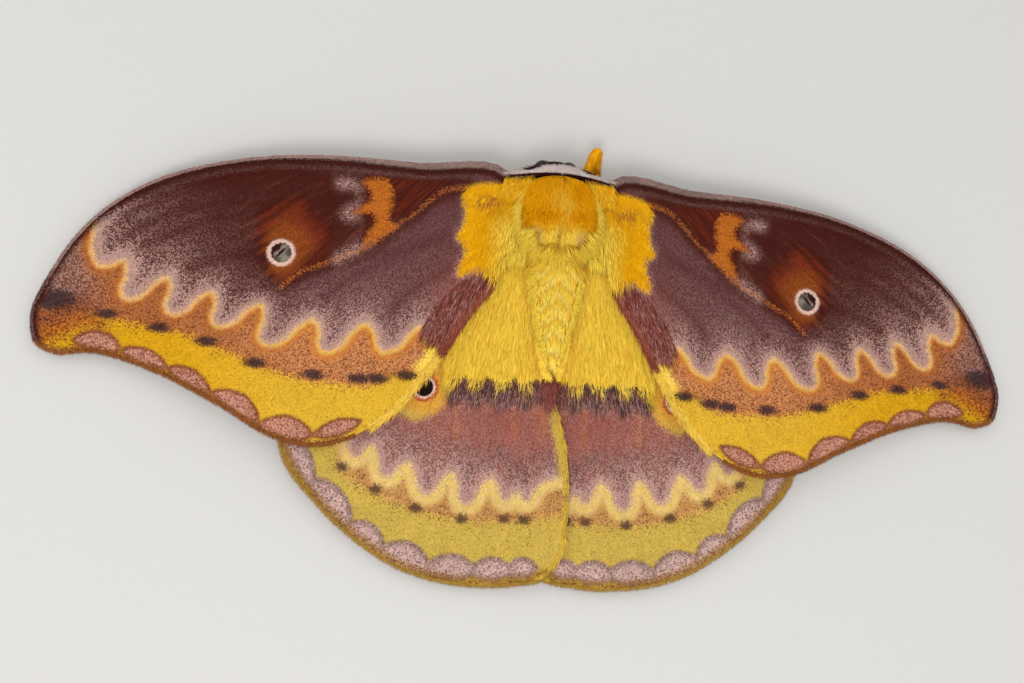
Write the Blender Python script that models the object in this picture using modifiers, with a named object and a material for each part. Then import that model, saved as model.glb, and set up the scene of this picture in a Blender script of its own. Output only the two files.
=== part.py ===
"""Life-size silk moth at rest: wings spread flat, standing on its six feet.

The object frame is +X to the wing on the right as seen from above with the head at the
top, +Y towards the head and +Z up, with the floor at z = 0. All sizes below are
millimetres, measured along the body from the wing hinges. Each finished mesh is scaled to
metres and moved along Y until the origin is under the middle of the whole length. Both
wings of a pair come from one plan drawn for the side where x is positive.
"""
import math
import random

import bmesh
import bpy
from mathutils import Matrix, Vector
from mathutils.geometry import delaunay_2d_cdt

OBJECT_NAME = "silk_moth"
METRES_PER_MM = 0.001
GAP = 0.34
MIDDLE_OF_LENGTH_Y = -15.5

# Body
THORAX_CENTRE = (0.0, 4.8, 7.0)
THORAX_HALF = (5.4, 5.7, 4.9)
THORAX_SQUARENESS = 2.4
ABDOMEN_LENGTH = 17.2
ABDOMEN_RADIUS = 4.1
ABDOMEN_FRONT_Z = 5.4
ABDOMEN_TIP_Z = 4.4
ABDOMEN_SEGMENTS = 7
HEAD_CENTRE = (0.0, 12.1, 4.5)
HEAD_HALF = (2.45, 1.65, 1.9)
EYE_RADIUS = 1.25
EYE_PLACE = (1.9, 12.4, 4.7)

# Wings
WING_THICKNESS = 0.52
VEIN_HEIGHT = 0.24
VEIN_HALF_WIDTH = 0.5
ROOT_HEIGHT = 6.6
EDGE_HEIGHT = 0.75
DOME_HALF_WIDTH = 70.0
DOME_HALF_LENGTH = 50.0
DOME_CENTRE_Y = 3.0
DOME_POWER = 0.85
DOME_EASE = 0.05
HINDWING_LIFT = 0.3
FOREWING_LIFT = 1.55
FOREWING_TIP_LIFT = 0.45
MIDLINE_LAP = 0.55
SWING_CENTRE = (6.0, 2.0)
SWING_DEGREES = 1.44
PLAN_GRID = 4.6

# Legs, written for the side where x is positive: root on the thorax as its y and its angle
# below level, then thigh, knee, shin, ankle and toe. The right foreleg reaches out past the wing.
LEG_RADIUS = 0.72
LEG_RADII = [LEG_RADIUS * share for share in (1.0, 1.0, 1.1, 0.9, 1.0, 0.75)]
TOE_RADIUS = 0.42
HIP_LENGTH = 0.7
TOE_HEIGHT = 0.33
LEGS = {
    "foreleg_left": ((7.6, 48), (5.2, 8.8, 3.4), (7.2, 10.2, 3.6), (8.0, 9.6, 2.2), (8.8, 9.0, 0.9),
                     (11.4, 9.8, TOE_HEIGHT)),
    "foreleg_right": ((7.6, 48), (4.9, 12.2, 3.9), (6.2, 15.5, 4.5), (7.1, 13.0, 3.0),
                      (7.9, 10.6, 0.9), (9.4, 7.8, TOE_HEIGHT)),
    "midleg": ((4.8, 46), (6.0, 5.0, 3.5), (8.4, 5.2, 3.7), (9.9, 4.9, 2.3), (11.4, 4.6, 0.9),
               (15.4, 4.0, TOE_HEIGHT)),
    "hindleg": ((2.0, 48), (5.2, -0.6, 3.3), (7.2, -3.4, 3.5), (8.3, -6.2, 2.2), (9.2, -9.0, 0.9),
                (10.4, -14.4, TOE_HEIGHT)),
}

# Colours: base colour, roughness
COLOURS = {
    "thorax": ((0.77, 0.38, 0.02), 0.9),
    "abdomen": ((0.80, 0.50, 0.06), 0.9),
    "head": ((0.25, 0.10, 0.07), 0.9),
    "eye": ((0.02, 0.012, 0.01), 0.15),
    "antenna": ((0.75, 0.30, 0.02), 0.7),
    "palp": ((0.30, 0.10, 0.05), 0.9),
    "leg": ((0.60, 0.30, 0.05), 0.85),
    "forewing": ((0.16, 0.06, 0.06), 0.8),
    "hindwing": ((0.55, 0.33, 0.08), 0.8),
}


def smoothstep(low, high, value):
    """Rise from 0 to 1 between low and high."""
    share = min(1.0, max(0.0, (value - low) / (high - low)))
    return share * share * (3.0 - 2.0 * share)


def curve_through(points, steps, closed=False):
    """Points on a smooth curve through the given ones, steps to each span."""
    points = [Vector(p) for p in points]
    count = len(points)

    def at(i):
        return points[i % count] if closed else points[min(max(i, 0), count - 1)]

    def heading(i):
        before = at(i) - at(i - 1)
        after = at(i + 1) - at(i)
        if before.length == 0.0:
            return after.normalized()
        if after.length == 0.0:
            return before.normalized()
        blend = before.normalized() * after.length + after.normalized() * before.length
        return blend / (before.length + after.length)

    curve = []
    for i in range(count if closed else count - 1):
        start, end = at(i), at(i + 1)
        reach = (end - start).length
        for step in range(steps):
            t = step / steps
            curve.append(
                start * (2 * t**3 - 3 * t**2 + 1)
                + heading(i) * reach * (t**3 - 2 * t**2 + t)
                + end * (3 * t**2 - 2 * t**3)
                + heading(i + 1) * reach * (t**3 - t**2)
            )
    if not closed:
        curve.append(points[-1])
    return curve


def evenly(points, spacing):
    """The same line with its points about one spacing apart."""
    length = sum((b - a).length for a, b in zip(points, points[1:]))
    count = max(1, round(length / spacing))
    places, gone, k = [points[0]], 0.0, 0
    for i in range(1, count):
        target = length * i / count
        while gone + (points[k + 1] - points[k]).length < target:
            gone += (points[k + 1] - points[k]).length
            k += 1
        piece = points[k + 1] - points[k]
        places.append(points[k] + piece * ((target - gone) / piece.length))
    return places + [points[-1]]


def thorax_half_width(y, z=THORAX_CENTRE[2]):
    """Half the width of the thorax at a place along it."""
    along = abs(y - THORAX_CENTRE[1]) / THORAX_HALF[1]
    up = abs(z - THORAX_CENTRE[2]) / THORAX_HALF[2]
    rest = 1.0 - min(1.0, along**THORAX_SQUARENESS + up**THORAX_SQUARENESS)
    return THORAX_HALF[0] * rest ** (1.0 / THORAX_SQUARENESS)


ABDOMEN_FRONT = THORAX_CENTRE[1] - THORAX_HALF[1] - GAP


def abdomen_profile(share):
    """Radius of the abdomen at a share of its length, front to tip."""
    fullness = 0.80 + 0.20 * smoothstep(0.0, 0.16, share)
    taper = max(0.0, 1.0 - smoothstep(0.12, 1.08, share)) ** 0.75
    groove = 0.03 * math.cos(2 * math.pi * ABDOMEN_SEGMENTS * share)
    return ABDOMEN_RADIUS * fullness * taper * (1.0 - groove)


def beside_thorax(y):
    """A plan point of a wing root, clear of the thorax by the gap."""
    return (thorax_half_width(y) + 1.4 * GAP, y)


def beside_abdomen(y):
    """A plan point of the hindwing's inner margin, clear of the abdomen."""
    return (abdomen_profile((ABDOMEN_FRONT - y) / ABDOMEN_LENGTH) + 1.6 * GAP, y)


# Wing plans for the side where x is positive, going round from the root's front corner.
FOREWING_OUTLINE = [
    beside_thorax(7.2), (7.4, 10.4), (20.0, 10.6), (34.0, 10.5), (46.0, 8.8), (56.5, 5.0),
    (63.5, -0.6), (68.0, -8.0), (70.0, -16.0), (69.0, -18.7), (66.4, -19.9), (62.0, -19.4),
    (54.0, -21.2), (44.0, -25.6), (36.6, -29.3), (31.5, -30.1), (25.6, -28.3), (20.0, -23.5),
    (15.4, -16.8), (12.4, -11.3), (8.4, -5.4), (6.4, -0.6), beside_thorax(3.2), beside_thorax(5.2),
]
HINDWING_OUTLINE = [
    beside_thorax(2.2), (9.0, 0.2), (17.0, -3.8), (26.0, -10.0), (33.5, -18.0), (37.2, -25.4),
    (36.2, -30.8), (31.4, -36.8), (25.5, -41.8), (19.5, -45.2), (11.5, -47.0), (4.4, -46.9),
    (0.2, -46.0), (-2.4, -43.0), (-3.0, -37.6), (-2.4, -27.5), (-0.2, -20.6),
    beside_abdomen(-15.5), beside_abdomen(-10.0), beside_abdomen(-5.0), beside_abdomen(-2.0),
    beside_thorax(0.9),
]
FOREWING_VEINS = {
    "subcosta": [(6.4, 7.4), (20.0, 8.3), (36.0, 7.9), (50.0, 5.0), (60.0, -0.9), (66.5, -9.3)],
    "radius": [(6.3, 5.8), (20.0, 5.2), (36.0, 2.9), (50.0, 1.6), (60.5, -4.6), (67.2, -16.6)],
    "cubitus": [(6.3, 4.2), (14.0, 0.8), (22.0, -2.6), (31.0, -5.6), (39.2, -10.7), (44.6, -24.2)],
    "media_upper": [(38.2, 2.2), (50.0, -1.0), (58.2, -6.2), (62.8, -18.6)],
    "media_middle": [(38.4, -3.4), (51.0, -8.0), (57.2, -19.2)],
    "media_lower": [(36.4, -8.2), (45.9, -11.2), (50.8, -21.4)],
    "cross": [(38.4, 1.2), (38.9, -3.4), (36.8, -7.6)],
    "cubitus_lower": [(22.6, -3.4), (30.5, -8.8), (34.6, -16.6), (37.9, -27.4)],
    "anal": [(6.6, 1.6), (13.6, -3.4), (21.4, -9.6), (26.4, -17.0), (30.8, -28.9)],
}
HINDWING_VEINS = {
    "subcosta": [(6.4, 1.2), (18.0, -6.4), (28.0, -14.6), (35.0, -24.0)],
    "radius": [(6.2, 0.2), (16.0, -8.0), (25.0, -16.4), (31.4, -24.0), (34.2, -31.2)],
    "media_upper": [(20.4, -15.8), (27.6, -23.6), (30.6, -35.4)],
    "media_middle": [(18.6, -19.2), (24.4, -27.5), (27.0, -39.2)],
    "media_lower": [(16.2, -21.4), (18.7, -28.7), (22.3, -42.2)],
    "cross": [(20.2, -15.4), (18.3, -19.2), (14.8, -19.6)],
    "cubitus": [(5.8, -1.0), (11.0, -10.0), (13.2, -19.0), (13.4, -30.0), (15.8, -44.8)],
    "cubitus_lower": [(6.6, -5.4), (8.6, -14.0), (8.0, -30.0), (9.5, -45.5)],
    "anal": [(4.2, -12.0), (2.6, -24.0), (1.8, -36.0), (3.2, -45.2)],
}


def dome(x, y):
    """Height over the floor of the surface that the wings follow, highest at the body."""
    reach = math.hypot(x / DOME_HALF_WIDTH, (y - DOME_CENTRE_Y) / DOME_HALF_LENGTH)
    left = 1.0 - reach
    eased = 0.5 * (left + math.hypot(left, DOME_EASE))
    return EDGE_HEIGHT + (ROOT_HEIGHT - EDGE_HEIGHT) * eased**DOME_POWER


def forewing_height(x, y, side):
    """Middle height of the forewing, clear over the hindwing and low at the tip."""
    outward = smoothstep(36.0, 66.0, abs(x))
    return dome(x, y) + FOREWING_LIFT + (FOREWING_TIP_LIFT - FOREWING_LIFT) * outward


def hindwing_height(x, y, side):
    """Middle height of the hindwing. Past the abdomen the left one laps over the right."""
    near = 1.0 - smoothstep(0.5, 7.0, x * side)
    behind = 1.0 - smoothstep(-20.0, -14.0, y)
    return dome(x, y) + HINDWING_LIFT - side * MIDLINE_LAP * near * behind


def swing(point, degrees):
    """Turn a forewing plan point about the wing's hinge."""
    angle = math.radians(degrees)
    arm = Vector(point) - Vector(SWING_CENTRE)
    turned = (
        arm.x * math.cos(angle) - arm.y * math.sin(angle),
        arm.x * math.sin(angle) + arm.y * math.cos(angle),
    )
    return Vector(SWING_CENTRE) + Vector(turned)


def distance_to_line(point, line):
    """Shortest distance from a plan point to a line of points."""
    best = math.inf
    for a, b in zip(line, line[1:]):
        along = b - a
        share = (point - a).dot(along) / max(along.length_squared, 1e-12)
        foot = a + along * min(1.0, max(0.0, share))
        best = min(best, (point - foot).length)
    return best


def clear_of(point, lines, distance):
    """Whether a plan point keeps a distance from every line."""
    return all(distance_to_line(point, line) >= distance for line in lines)


def vein_lines(veins):
    """Centre lines of the veins, each starting clear of those before it."""
    lines = []
    for points in veins.values():
        line = evenly(curve_through(points, 8), 3.6)
        lines.append([p for p in line if clear_of(p, lines, 1.6 * VEIN_HALF_WIDTH)])
    return lines


def beside_line(line, offset):
    """The line moved sideways in plan."""
    moved = []
    for i, point in enumerate(line):
        along = (line[min(i + 1, len(line) - 1)] - line[max(i - 1, 0)]).normalized()
        moved.append(point + Vector((-along.y, along.x)) * offset)
    return moved


def wing_plan(outline, lines):
    """A flat triangulated sheet of the wing, with edges along and beside each vein."""
    points = list(outline)
    edges = [(i, (i + 1) % len(points)) for i in range(len(points))]
    rim = outline + [outline[0]]

    def add_line(line):
        first = len(points)
        points.extend(line)
        edges.extend((first + i, first + i + 1) for i in range(len(line) - 1))

    for k, line in enumerate(lines):
        add_line(line)
        others = lines[:k] + lines[k + 1:]
        for offset in (-VEIN_HALF_WIDTH, VEIN_HALF_WIDTH):
            beside = beside_line(line, offset)
            add_line([p for p in beside if clear_of(p, others + [rim], 0.4)])
    across = [p.x for p in outline]
    along = [p.y for p in outline]
    rows = int((max(along) - min(along)) / (PLAN_GRID * 0.87)) + 1
    columns = int((max(across) - min(across)) / PLAN_GRID) + 1
    for row in range(rows):
        for column in range(columns):
            x = min(across) + (column + 0.5 * (row % 2)) * PLAN_GRID
            point = Vector((x, min(along) + row * PLAN_GRID * 0.87))
            if clear_of(point, lines + [rim], 0.42 * PLAN_GRID):
                points.append(point)
    vertices, _, faces, *_ = delaunay_2d_cdt(points, edges, [list(range(len(outline)))], 1, 1e-4)
    used = sorted({i for face in faces for i in face})
    number = {old: new for new, old in enumerate(used)}
    mesh = bpy.data.meshes.new("wing_plan")
    mesh.from_pydata(
        [(vertices[i].x, vertices[i].y, 0.0) for i in used],
        [],
        [[number[i] for i in face] for face in faces],
    )
    return mesh


def wing(name, side, outline, veins, height, swing_degrees):
    """A wing: its plan made solid and bent to its height, veins raised on top."""
    def placed(points):
        return [swing(p, swing_degrees) for p in points]

    lines = [placed(line) for line in vein_lines(veins)]
    mesh = wing_plan(placed(curve_through(outline, 3, closed=True)), lines)
    mesh.transform(Matrix.Scale(side, 4, (1, 0, 0)))
    sheet = new_object(name, mesh, name.split("_")[0])
    solidify = sheet.modifiers.new("thickness", "SOLIDIFY")
    solidify.thickness = WING_THICKNESS
    solidify.offset = 0.0
    apply_modifiers(sheet)
    for vertex in sheet.data.vertices:
        x, y, z = vertex.co
        if z > 0.0:
            away = min(distance_to_line(Vector((x * side, y)), line) for line in lines)
            z += VEIN_HEIGHT * max(0.0, 1.0 - away / VEIN_HALF_WIDTH)
        vertex.co.z = z + height(x, y, side)
    return sheet


def material(kind):
    """The plain material of a kind of piece."""
    if kind in bpy.data.materials:
        return bpy.data.materials[kind]
    made = bpy.data.materials.new(kind)
    made.use_nodes = True
    shader = made.node_tree.nodes["Principled BSDF"]
    colour, roughness = COLOURS[kind]
    shader.inputs["Base Color"].default_value = (*colour, 1.0)
    shader.inputs["Roughness"].default_value = roughness
    shader.inputs["Metallic"].default_value = 0.0
    made.diffuse_color = (*colour, 1.0)
    return made


def collection(name):
    """The collection of that name, made when first asked for."""
    if name not in bpy.data.collections:
        made = bpy.data.collections.new(name)
        bpy.context.scene.collection.children.link(made)
    return bpy.data.collections[name]


def new_object(name, mesh, kind):
    """A named piece of the moth with its own material."""
    piece = bpy.data.objects.new(name, mesh)
    mesh.name = name
    mesh.materials.clear()
    mesh.materials.append(material(kind))
    collection(OBJECT_NAME).objects.link(piece)
    return piece


def apply_modifiers(piece):
    """Replace a piece's mesh by what its modifiers make of it."""
    bpy.context.view_layer.update()
    graph = bpy.context.evaluated_depsgraph_get()
    mesh = bpy.data.meshes.new_from_object(piece.evaluated_get(graph))
    piece.modifiers.clear()
    piece.data = mesh


def from_bmesh(name, kind, shape):
    """A piece from finished bmesh geometry, its faces turned outwards."""
    shape.normal_update()
    bmesh.ops.recalc_face_normals(shape, faces=shape.faces)
    mesh = bpy.data.meshes.new(name)
    shape.to_mesh(mesh)
    shape.free()
    return new_object(name, mesh, kind)


def ring(shape, centre, across, up, half_width, half_thickness):
    """Four points round a flat section of a lock or ray."""
    corners = (across * half_width, up * half_thickness, -across * half_width, -up * half_thickness)
    return [shape.verts.new(centre + corner) for corner in corners]


def close_loft(shape, rings, tip):
    """Skin the rings into one closed form that ends in a point."""
    for a, b in zip(rings, rings[1:]):
        for k in range(4):
            shape.faces.new((a[k], a[(k + 1) % 4], b[(k + 1) % 4], b[k]))
    shape.faces.new(rings[0])
    end = shape.verts.new(tip)
    for k in range(4):
        shape.faces.new((rings[-1][k], rings[-1][(k + 1) % 4], end))


def join(core, pieces):
    """Fuse closed pieces into the core, and keep its largest closed surface."""
    group = collection("to_join")
    for piece in pieces:
        collection(OBJECT_NAME).objects.unlink(piece)
        group.objects.link(piece)
    union = core.modifiers.new("join", "BOOLEAN")
    union.operation = "UNION"
    union.operand_type = "COLLECTION"
    union.collection = group
    union.solver = "EXACT"
    apply_modifiers(core)
    for piece in pieces:
        bpy.data.objects.remove(piece)
    keep_largest(core)


def keep_largest(piece):
    """Weld a piece and drop all but its largest closed surface."""
    shape = bmesh.new()
    shape.from_mesh(piece.data)
    bmesh.ops.remove_doubles(shape, verts=shape.verts, dist=0.002)
    bmesh.ops.dissolve_degenerate(shape, edges=shape.edges, dist=0.002)
    unseen = set(shape.verts)
    islands = []
    while unseen:
        island, edge = set(), [unseen.pop()]
        while edge:
            vertex = edge.pop()
            island.add(vertex)
            for link in vertex.link_edges:
                other = link.other_vert(vertex)
                if other in unseen:
                    unseen.remove(other)
                    edge.append(other)
        islands.append(island)
    islands.sort(key=len)
    for island in islands[:-1]:
        bmesh.ops.delete(shape, geom=list(island), context="VERTS")
    shape.to_mesh(piece.data)
    shape.free()


def varied(draw, value, share):
    """The value, up to a share of itself more or less."""
    return value * draw.uniform(1.0 - share, 1.0 + share)


def lock(kind, path, half_widths, half_thickness):
    """A flat tapered lock of hair along a path, its last point the tip."""
    shape = bmesh.new()
    rings = []
    for i, half_width in enumerate(half_widths):
        along = (path[i + 1] - path[max(i - 1, 0)]).normalized()
        across = along.cross(Vector((0, 0, 1))).normalized()
        up = across.cross(along)
        rings.append(ring(shape, path[i], across, up, half_width, half_thickness))
    close_loft(shape, rings, path[-1])
    return from_bmesh("lock", kind, shape)


def rounded_body(name, kind, centre, half, squareness, columns, rows):
    """A sphere drawn out to half sizes and squared off by a power."""
    shape = bmesh.new()
    bmesh.ops.create_uvsphere(shape, u_segments=columns, v_segments=rows, radius=1.0)
    turn = Matrix.Rotation(math.radians(90), 3, "X")
    for vertex in shape.verts:
        direction = turn @ vertex.co
        size = sum(abs(c) ** squareness for c in direction) ** (1.0 / squareness)
        vertex.co = Vector(centre) + Vector(c * h for c, h in zip(direction / size, half))
    return from_bmesh(name, kind, shape)


def abdomen():
    """A turned body with a soft ring to each segment, drooping a little to its tip."""
    rows = 3 * ABDOMEN_SEGMENTS
    profile = bmesh.new()
    ends = [profile.verts.new((0.0, 0.0, 0.0))]
    for row in range(rows):
        share = (row + 0.35) / rows
        ends.append(profile.verts.new((abdomen_profile(share), 0.0, -ABDOMEN_LENGTH * share)))
    ends.append(profile.verts.new((0.0, 0.0, -ABDOMEN_LENGTH)))
    for a, b in zip(ends, ends[1:]):
        profile.edges.new((a, b))
    piece = from_bmesh("abdomen", "abdomen", profile)
    screw = piece.modifiers.new("turn", "SCREW")
    screw.steps = screw.render_steps = 16
    screw.use_merge_vertices = True
    screw.merge_threshold = 0.0001
    apply_modifiers(piece)
    for vertex in piece.data.vertices:
        x, z, y = vertex.co
        share = -y / ABDOMEN_LENGTH
        middle = ABDOMEN_FRONT_Z + (ABDOMEN_TIP_Z - ABDOMEN_FRONT_Z) * share
        vertex.co = (x, ABDOMEN_FRONT + y, middle - z)
    turn_faces_outward(piece)
    return piece


def over_body(x, y, margin):
    """Height of the thorax's upper side, or of a coat that stands off it by a margin."""
    across = abs(x) / (THORAX_HALF[0] + margin)
    along = abs(y - THORAX_CENTRE[1]) / (THORAX_HALF[1] + margin)
    rest = max(0.0, 1.0 - across**THORAX_SQUARENESS - along**THORAX_SQUARENESS)
    return THORAX_CENTRE[2] + (THORAX_HALF[2] + margin) * rest ** (1.0 / THORAX_SQUARENESS)


def above_wing(x, y):
    """Lowest height of a lock over a wing root or the abdomen."""
    return forewing_height(x, y, 1) + 0.5 * WING_THICKNESS + VEIN_HEIGHT + 2.0 * GAP


# The thorax's coat: root y, number of locks, half the spread in x, length and way they lie.
THORAX_ROWS = [
    (9.0, 6, 3.9, 2.9, 1),
    (8.4, 5, 2.9, 3.6, -1),
    (6.4, 6, 3.6, 3.8, -1),
    (4.3, 7, 3.9, 3.8, -1),
    (2.3, 6, 3.6, 4.2, -1),
]
THORAX_COAT_DEPTH = 1.2
THORAX_LOCK_FAN = 0.16
THORAX_LOCK_THINNING = 0.05
LOCK_HALF_WIDTHS = [0.55, 0.95, 0.9, 0.6]
LOCK_HALF_THICKNESS = 0.28
# Places along a lock: share of its length, then height over what it lies on.
THORAX_LOCK = ((0.0, -0.8), (0.3, 0.05), (0.6, 0.5), (0.85, 0.6), (1.0, 0.65))
ABDOMEN_LOCK = ((0.0, -0.4), (0.3, 0.16), (0.6, 0.34), (0.85, 0.4), (1.0, 0.4))
ABDOMEN_LOCK_LENGTH = 3.7
ABDOMEN_LOCK_ANGLES = (-54, -27, 0, 27, 54)
ABDOMEN_LOCK_END = 0.985


def thorax():
    """The thorax with its woolly coat: a collar lying forwards and tiers lying back."""
    draw = random.Random(11)
    centre, half = THORAX_CENTRE, THORAX_HALF
    piece = rounded_body("thorax", "thorax", centre, half, THORAX_SQUARENESS, 20, 12)
    locks = []
    for row_y, count, spread, length, way in THORAX_ROWS:
        for k in range(count):
            root_x = spread * (2.0 * k / (count - 1) - 1.0) + draw.uniform(-0.15, 0.15)
            root_y = row_y + draw.uniform(-0.2, 0.2)
            lie = Vector((root_x * THORAX_LOCK_FAN, way)).normalized()
            reach = varied(draw, length, 0.08) * (1.0 - THORAX_LOCK_THINNING * abs(root_x))
            path = []
            for share, raised in THORAX_LOCK:
                x = root_x + lie.x * reach * share
                y = root_y + lie.y * reach * share
                if share == 0.0:
                    z = over_body(x, y, 0.0) + raised
                else:
                    z = over_body(x, y, THORAX_COAT_DEPTH) - THORAX_COAT_DEPTH + raised
                    z = max(z, above_wing(x, y))
                path.append(Vector((x, y, z)))
            locks.append(lock("thorax", path, LOCK_HALF_WIDTHS, LOCK_HALF_THICKNESS))
    join(piece, locks)
    return piece


def on_abdomen(share, degrees, raised):
    """A place on the abdomen: a share of its length, an angle from the top and a height."""
    radius = abdomen_profile(share) + raised
    middle = ABDOMEN_FRONT_Z + (ABDOMEN_TIP_Z - ABDOMEN_FRONT_Z) * share
    angle = math.radians(degrees)
    y = ABDOMEN_FRONT - ABDOMEN_LENGTH * share
    return Vector((radius * math.sin(angle), y, middle + radius * math.cos(angle)))


def abdomen_coat(piece):
    """Locks to each segment, lying back towards the middle line."""
    draw = random.Random(23)
    locks = []
    for segment in range(ABDOMEN_SEGMENTS - 1):
        for degrees in ABDOMEN_LOCK_ANGLES:
            start = (segment + 0.15 + draw.uniform(-0.06, 0.06)) / ABDOMEN_SEGMENTS
            length = varied(draw, ABDOMEN_LOCK_LENGTH, 0.08) / ABDOMEN_LENGTH
            slim = 1.0 - 0.55 * start
            path = []
            for share, raised in ABDOMEN_LOCK:
                along = min(start + length * share, ABDOMEN_LOCK_END)
                path.append(on_abdomen(along, degrees * (1.0 - 0.35 * share), raised))
            widths = [w * slim for w in LOCK_HALF_WIDTHS]
            locks.append(lock("abdomen", path, widths, LOCK_HALF_THICKNESS))
    join(piece, locks)


# Long hair over the hindwing's base: root y, number of locks, first and last root x, length.
HINDWING_HAIR_ROWS = [(-2.6, 2, 6.0, 7.2, 5.6), (-6.8, 4, 5.0, 8.6, 6.0), (-12.2, 6, 4.4, 11.6, 7.0)]
HAIR_HALF_WIDTHS = [0.5, 0.95, 0.9, 0.55]
HAIR_HALF_THICKNESS = 0.25
HAIR_LOCK = ((0.0, -0.1), (0.22, 0.72), (0.55, 0.86), (0.85, 0.86), (1.0, 0.8))
HAIR_STRAIGHT_X = 6.6
HAIR_FAN = 0.06


def hindwing_hair(piece, side):
    """Long flat locks that lie back over the base of the hindwing."""
    draw = random.Random(31 + side)
    locks = []
    for row_y, count, first, last, length in HINDWING_HAIR_ROWS:
        for k in range(count):
            root_x = first + (last - first) * k / (count - 1) + draw.uniform(-0.1, 0.1)
            lie = Vector((HAIR_FAN * (root_x - HAIR_STRAIGHT_X), -1.0)).normalized()
            reach = varied(draw, length, 0.05)
            path = []
            for share, raised in HAIR_LOCK:
                x = root_x + lie.x * reach * share
                y = row_y + lie.y * reach * share
                path.append(Vector((side * x, y, hindwing_height(side * x, y, side) + raised)))
            locks.append(lock("hindwing", path, HAIR_HALF_WIDTHS, HAIR_HALF_THICKNESS))
    join(piece, locks)


def turn_faces_outward(piece):
    """Make every face of a closed piece point out."""
    shape = bmesh.new()
    shape.from_mesh(piece.data)
    bmesh.ops.remove_doubles(shape, verts=shape.verts, dist=1e-4)
    bmesh.ops.recalc_face_normals(shape, faces=shape.faces)
    shape.to_mesh(piece.data)
    shape.free()


def tube(name, kind, points, radii, spacing=1.6, sides=1):
    """A tube of changing radius along a smooth line, with flat ends."""
    line = curve_through(points, 6)
    even = evenly(line, spacing)
    length = sum((b - a).length for a, b in zip(even, even[1:]))
    data = bpy.data.curves.new(name, "CURVE")
    data.dimensions = "3D"
    data.bevel_depth = 1.0
    data.bevel_resolution = sides
    data.use_fill_caps = True
    spline = data.splines.new("POLY")
    spline.points.add(len(even) - 1)
    gone = 0.0
    for i, point in enumerate(even):
        if i:
            gone += (point - even[i - 1]).length
        share = gone / length * (len(radii) - 1)
        k = min(int(share), len(radii) - 2)
        spline.points[i].co = (*point, 1.0)
        spline.points[i].radius = radii[k] + (radii[k + 1] - radii[k]) * (share - k)
    guide = bpy.data.objects.new(name + "_line", data)
    collection(OBJECT_NAME).objects.link(guide)
    bpy.context.view_layer.update()
    graph = bpy.context.evaluated_depsgraph_get()
    mesh = bpy.data.meshes.new_from_object(guide.evaluated_get(graph))
    bpy.data.objects.remove(guide)
    piece = new_object(name, mesh, kind)
    turn_faces_outward(piece)
    return piece


def flatten_below_floor(piece):
    """Cut a foot off level at the floor, leaving a small flat to stand on."""
    shape = bmesh.new()
    shape.from_mesh(piece.data)
    everything = shape.verts[:] + shape.edges[:] + shape.faces[:]
    cut = bmesh.ops.bisect_plane(
        shape, geom=everything, plane_co=(0, 0, 0), plane_no=(0, 0, -1), clear_outer=True, dist=1e-5
    )
    rim = [e for e in cut["geom_cut"] if isinstance(e, bmesh.types.BMEdge)]
    bmesh.ops.holes_fill(shape, edges=rim)
    bmesh.ops.recalc_face_normals(shape, faces=shape.faces)
    shape.to_mesh(piece.data)
    shape.free()


def on_thorax(y, degrees_below, side):
    """A place on the flank of the thorax below the middle, and the way out from it."""
    angle = math.radians(degrees_below)
    out = Vector((side * math.cos(angle), (y - THORAX_CENTRE[1]) * 0.06, -math.sin(angle)))
    along = abs(y - THORAX_CENTRE[1]) / THORAX_HALF[1]
    power = THORAX_SQUARENESS
    across = abs(out.x / THORAX_HALF[0]) ** power + abs(out.z / THORAX_HALF[2]) ** power
    reach = ((1.0 - along**power) / across) ** (1.0 / power)
    place = Vector((out.x * reach, y, THORAX_CENTRE[2] + out.z * reach))
    return place, out.normalized()


def leg(name, side, root, *joints):
    """A leg from the underside of the thorax out to a foot flat on the floor."""
    place, out = on_thorax(*root, side)
    start = place + out * 1.35 * GAP
    bend = start + out * HIP_LENGTH
    route = [start, bend] + [Vector((side * x, y, z)) for x, y, z in joints]
    ankle, toe = route[-2], route[-1]
    heel = ankle.lerp(toe, 0.35)
    heel.z = TOE_HEIGHT
    route.insert(-1, heel)
    piece = tube(name, "leg", route, LEG_RADII + [TOE_RADIUS, 0.9 * TOE_RADIUS], 1.2)
    flatten_below_floor(piece)
    return piece


def head():
    """The head, with a socket cut on each side for the eye."""
    piece = rounded_body("head", "head", HEAD_CENTRE, HEAD_HALF, 2.2, 16, 10)
    for side in (-1, 1):
        shape = bmesh.new()
        bmesh.ops.create_uvsphere(shape, u_segments=14, v_segments=8, radius=EYE_RADIUS + GAP)
        cutter = from_bmesh("eye_socket", "eye", shape)
        collection(OBJECT_NAME).objects.unlink(cutter)
        collection("cutters").objects.link(cutter)
        cutter.location = (side * EYE_PLACE[0], EYE_PLACE[1], EYE_PLACE[2])
        cutter.hide_render = True
        cutter.display_type = "WIRE"
        cut = piece.modifiers.new("socket", "BOOLEAN")
        cut.operation = "DIFFERENCE"
        cut.object = cutter
    apply_modifiers(piece)
    for cutter in list(collection("cutters").objects):
        bpy.data.objects.remove(cutter)
    return piece


def eye(name, side):
    """A round compound eye sunk in its socket."""
    shape = bmesh.new()
    bmesh.ops.create_uvsphere(shape, u_segments=14, v_segments=8, radius=EYE_RADIUS)
    place = Matrix.Translation((side * EYE_PLACE[0], EYE_PLACE[1], EYE_PLACE[2]))
    bmesh.ops.transform(shape, matrix=place, verts=shape.verts)
    return from_bmesh(name, "eye", shape)


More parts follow.
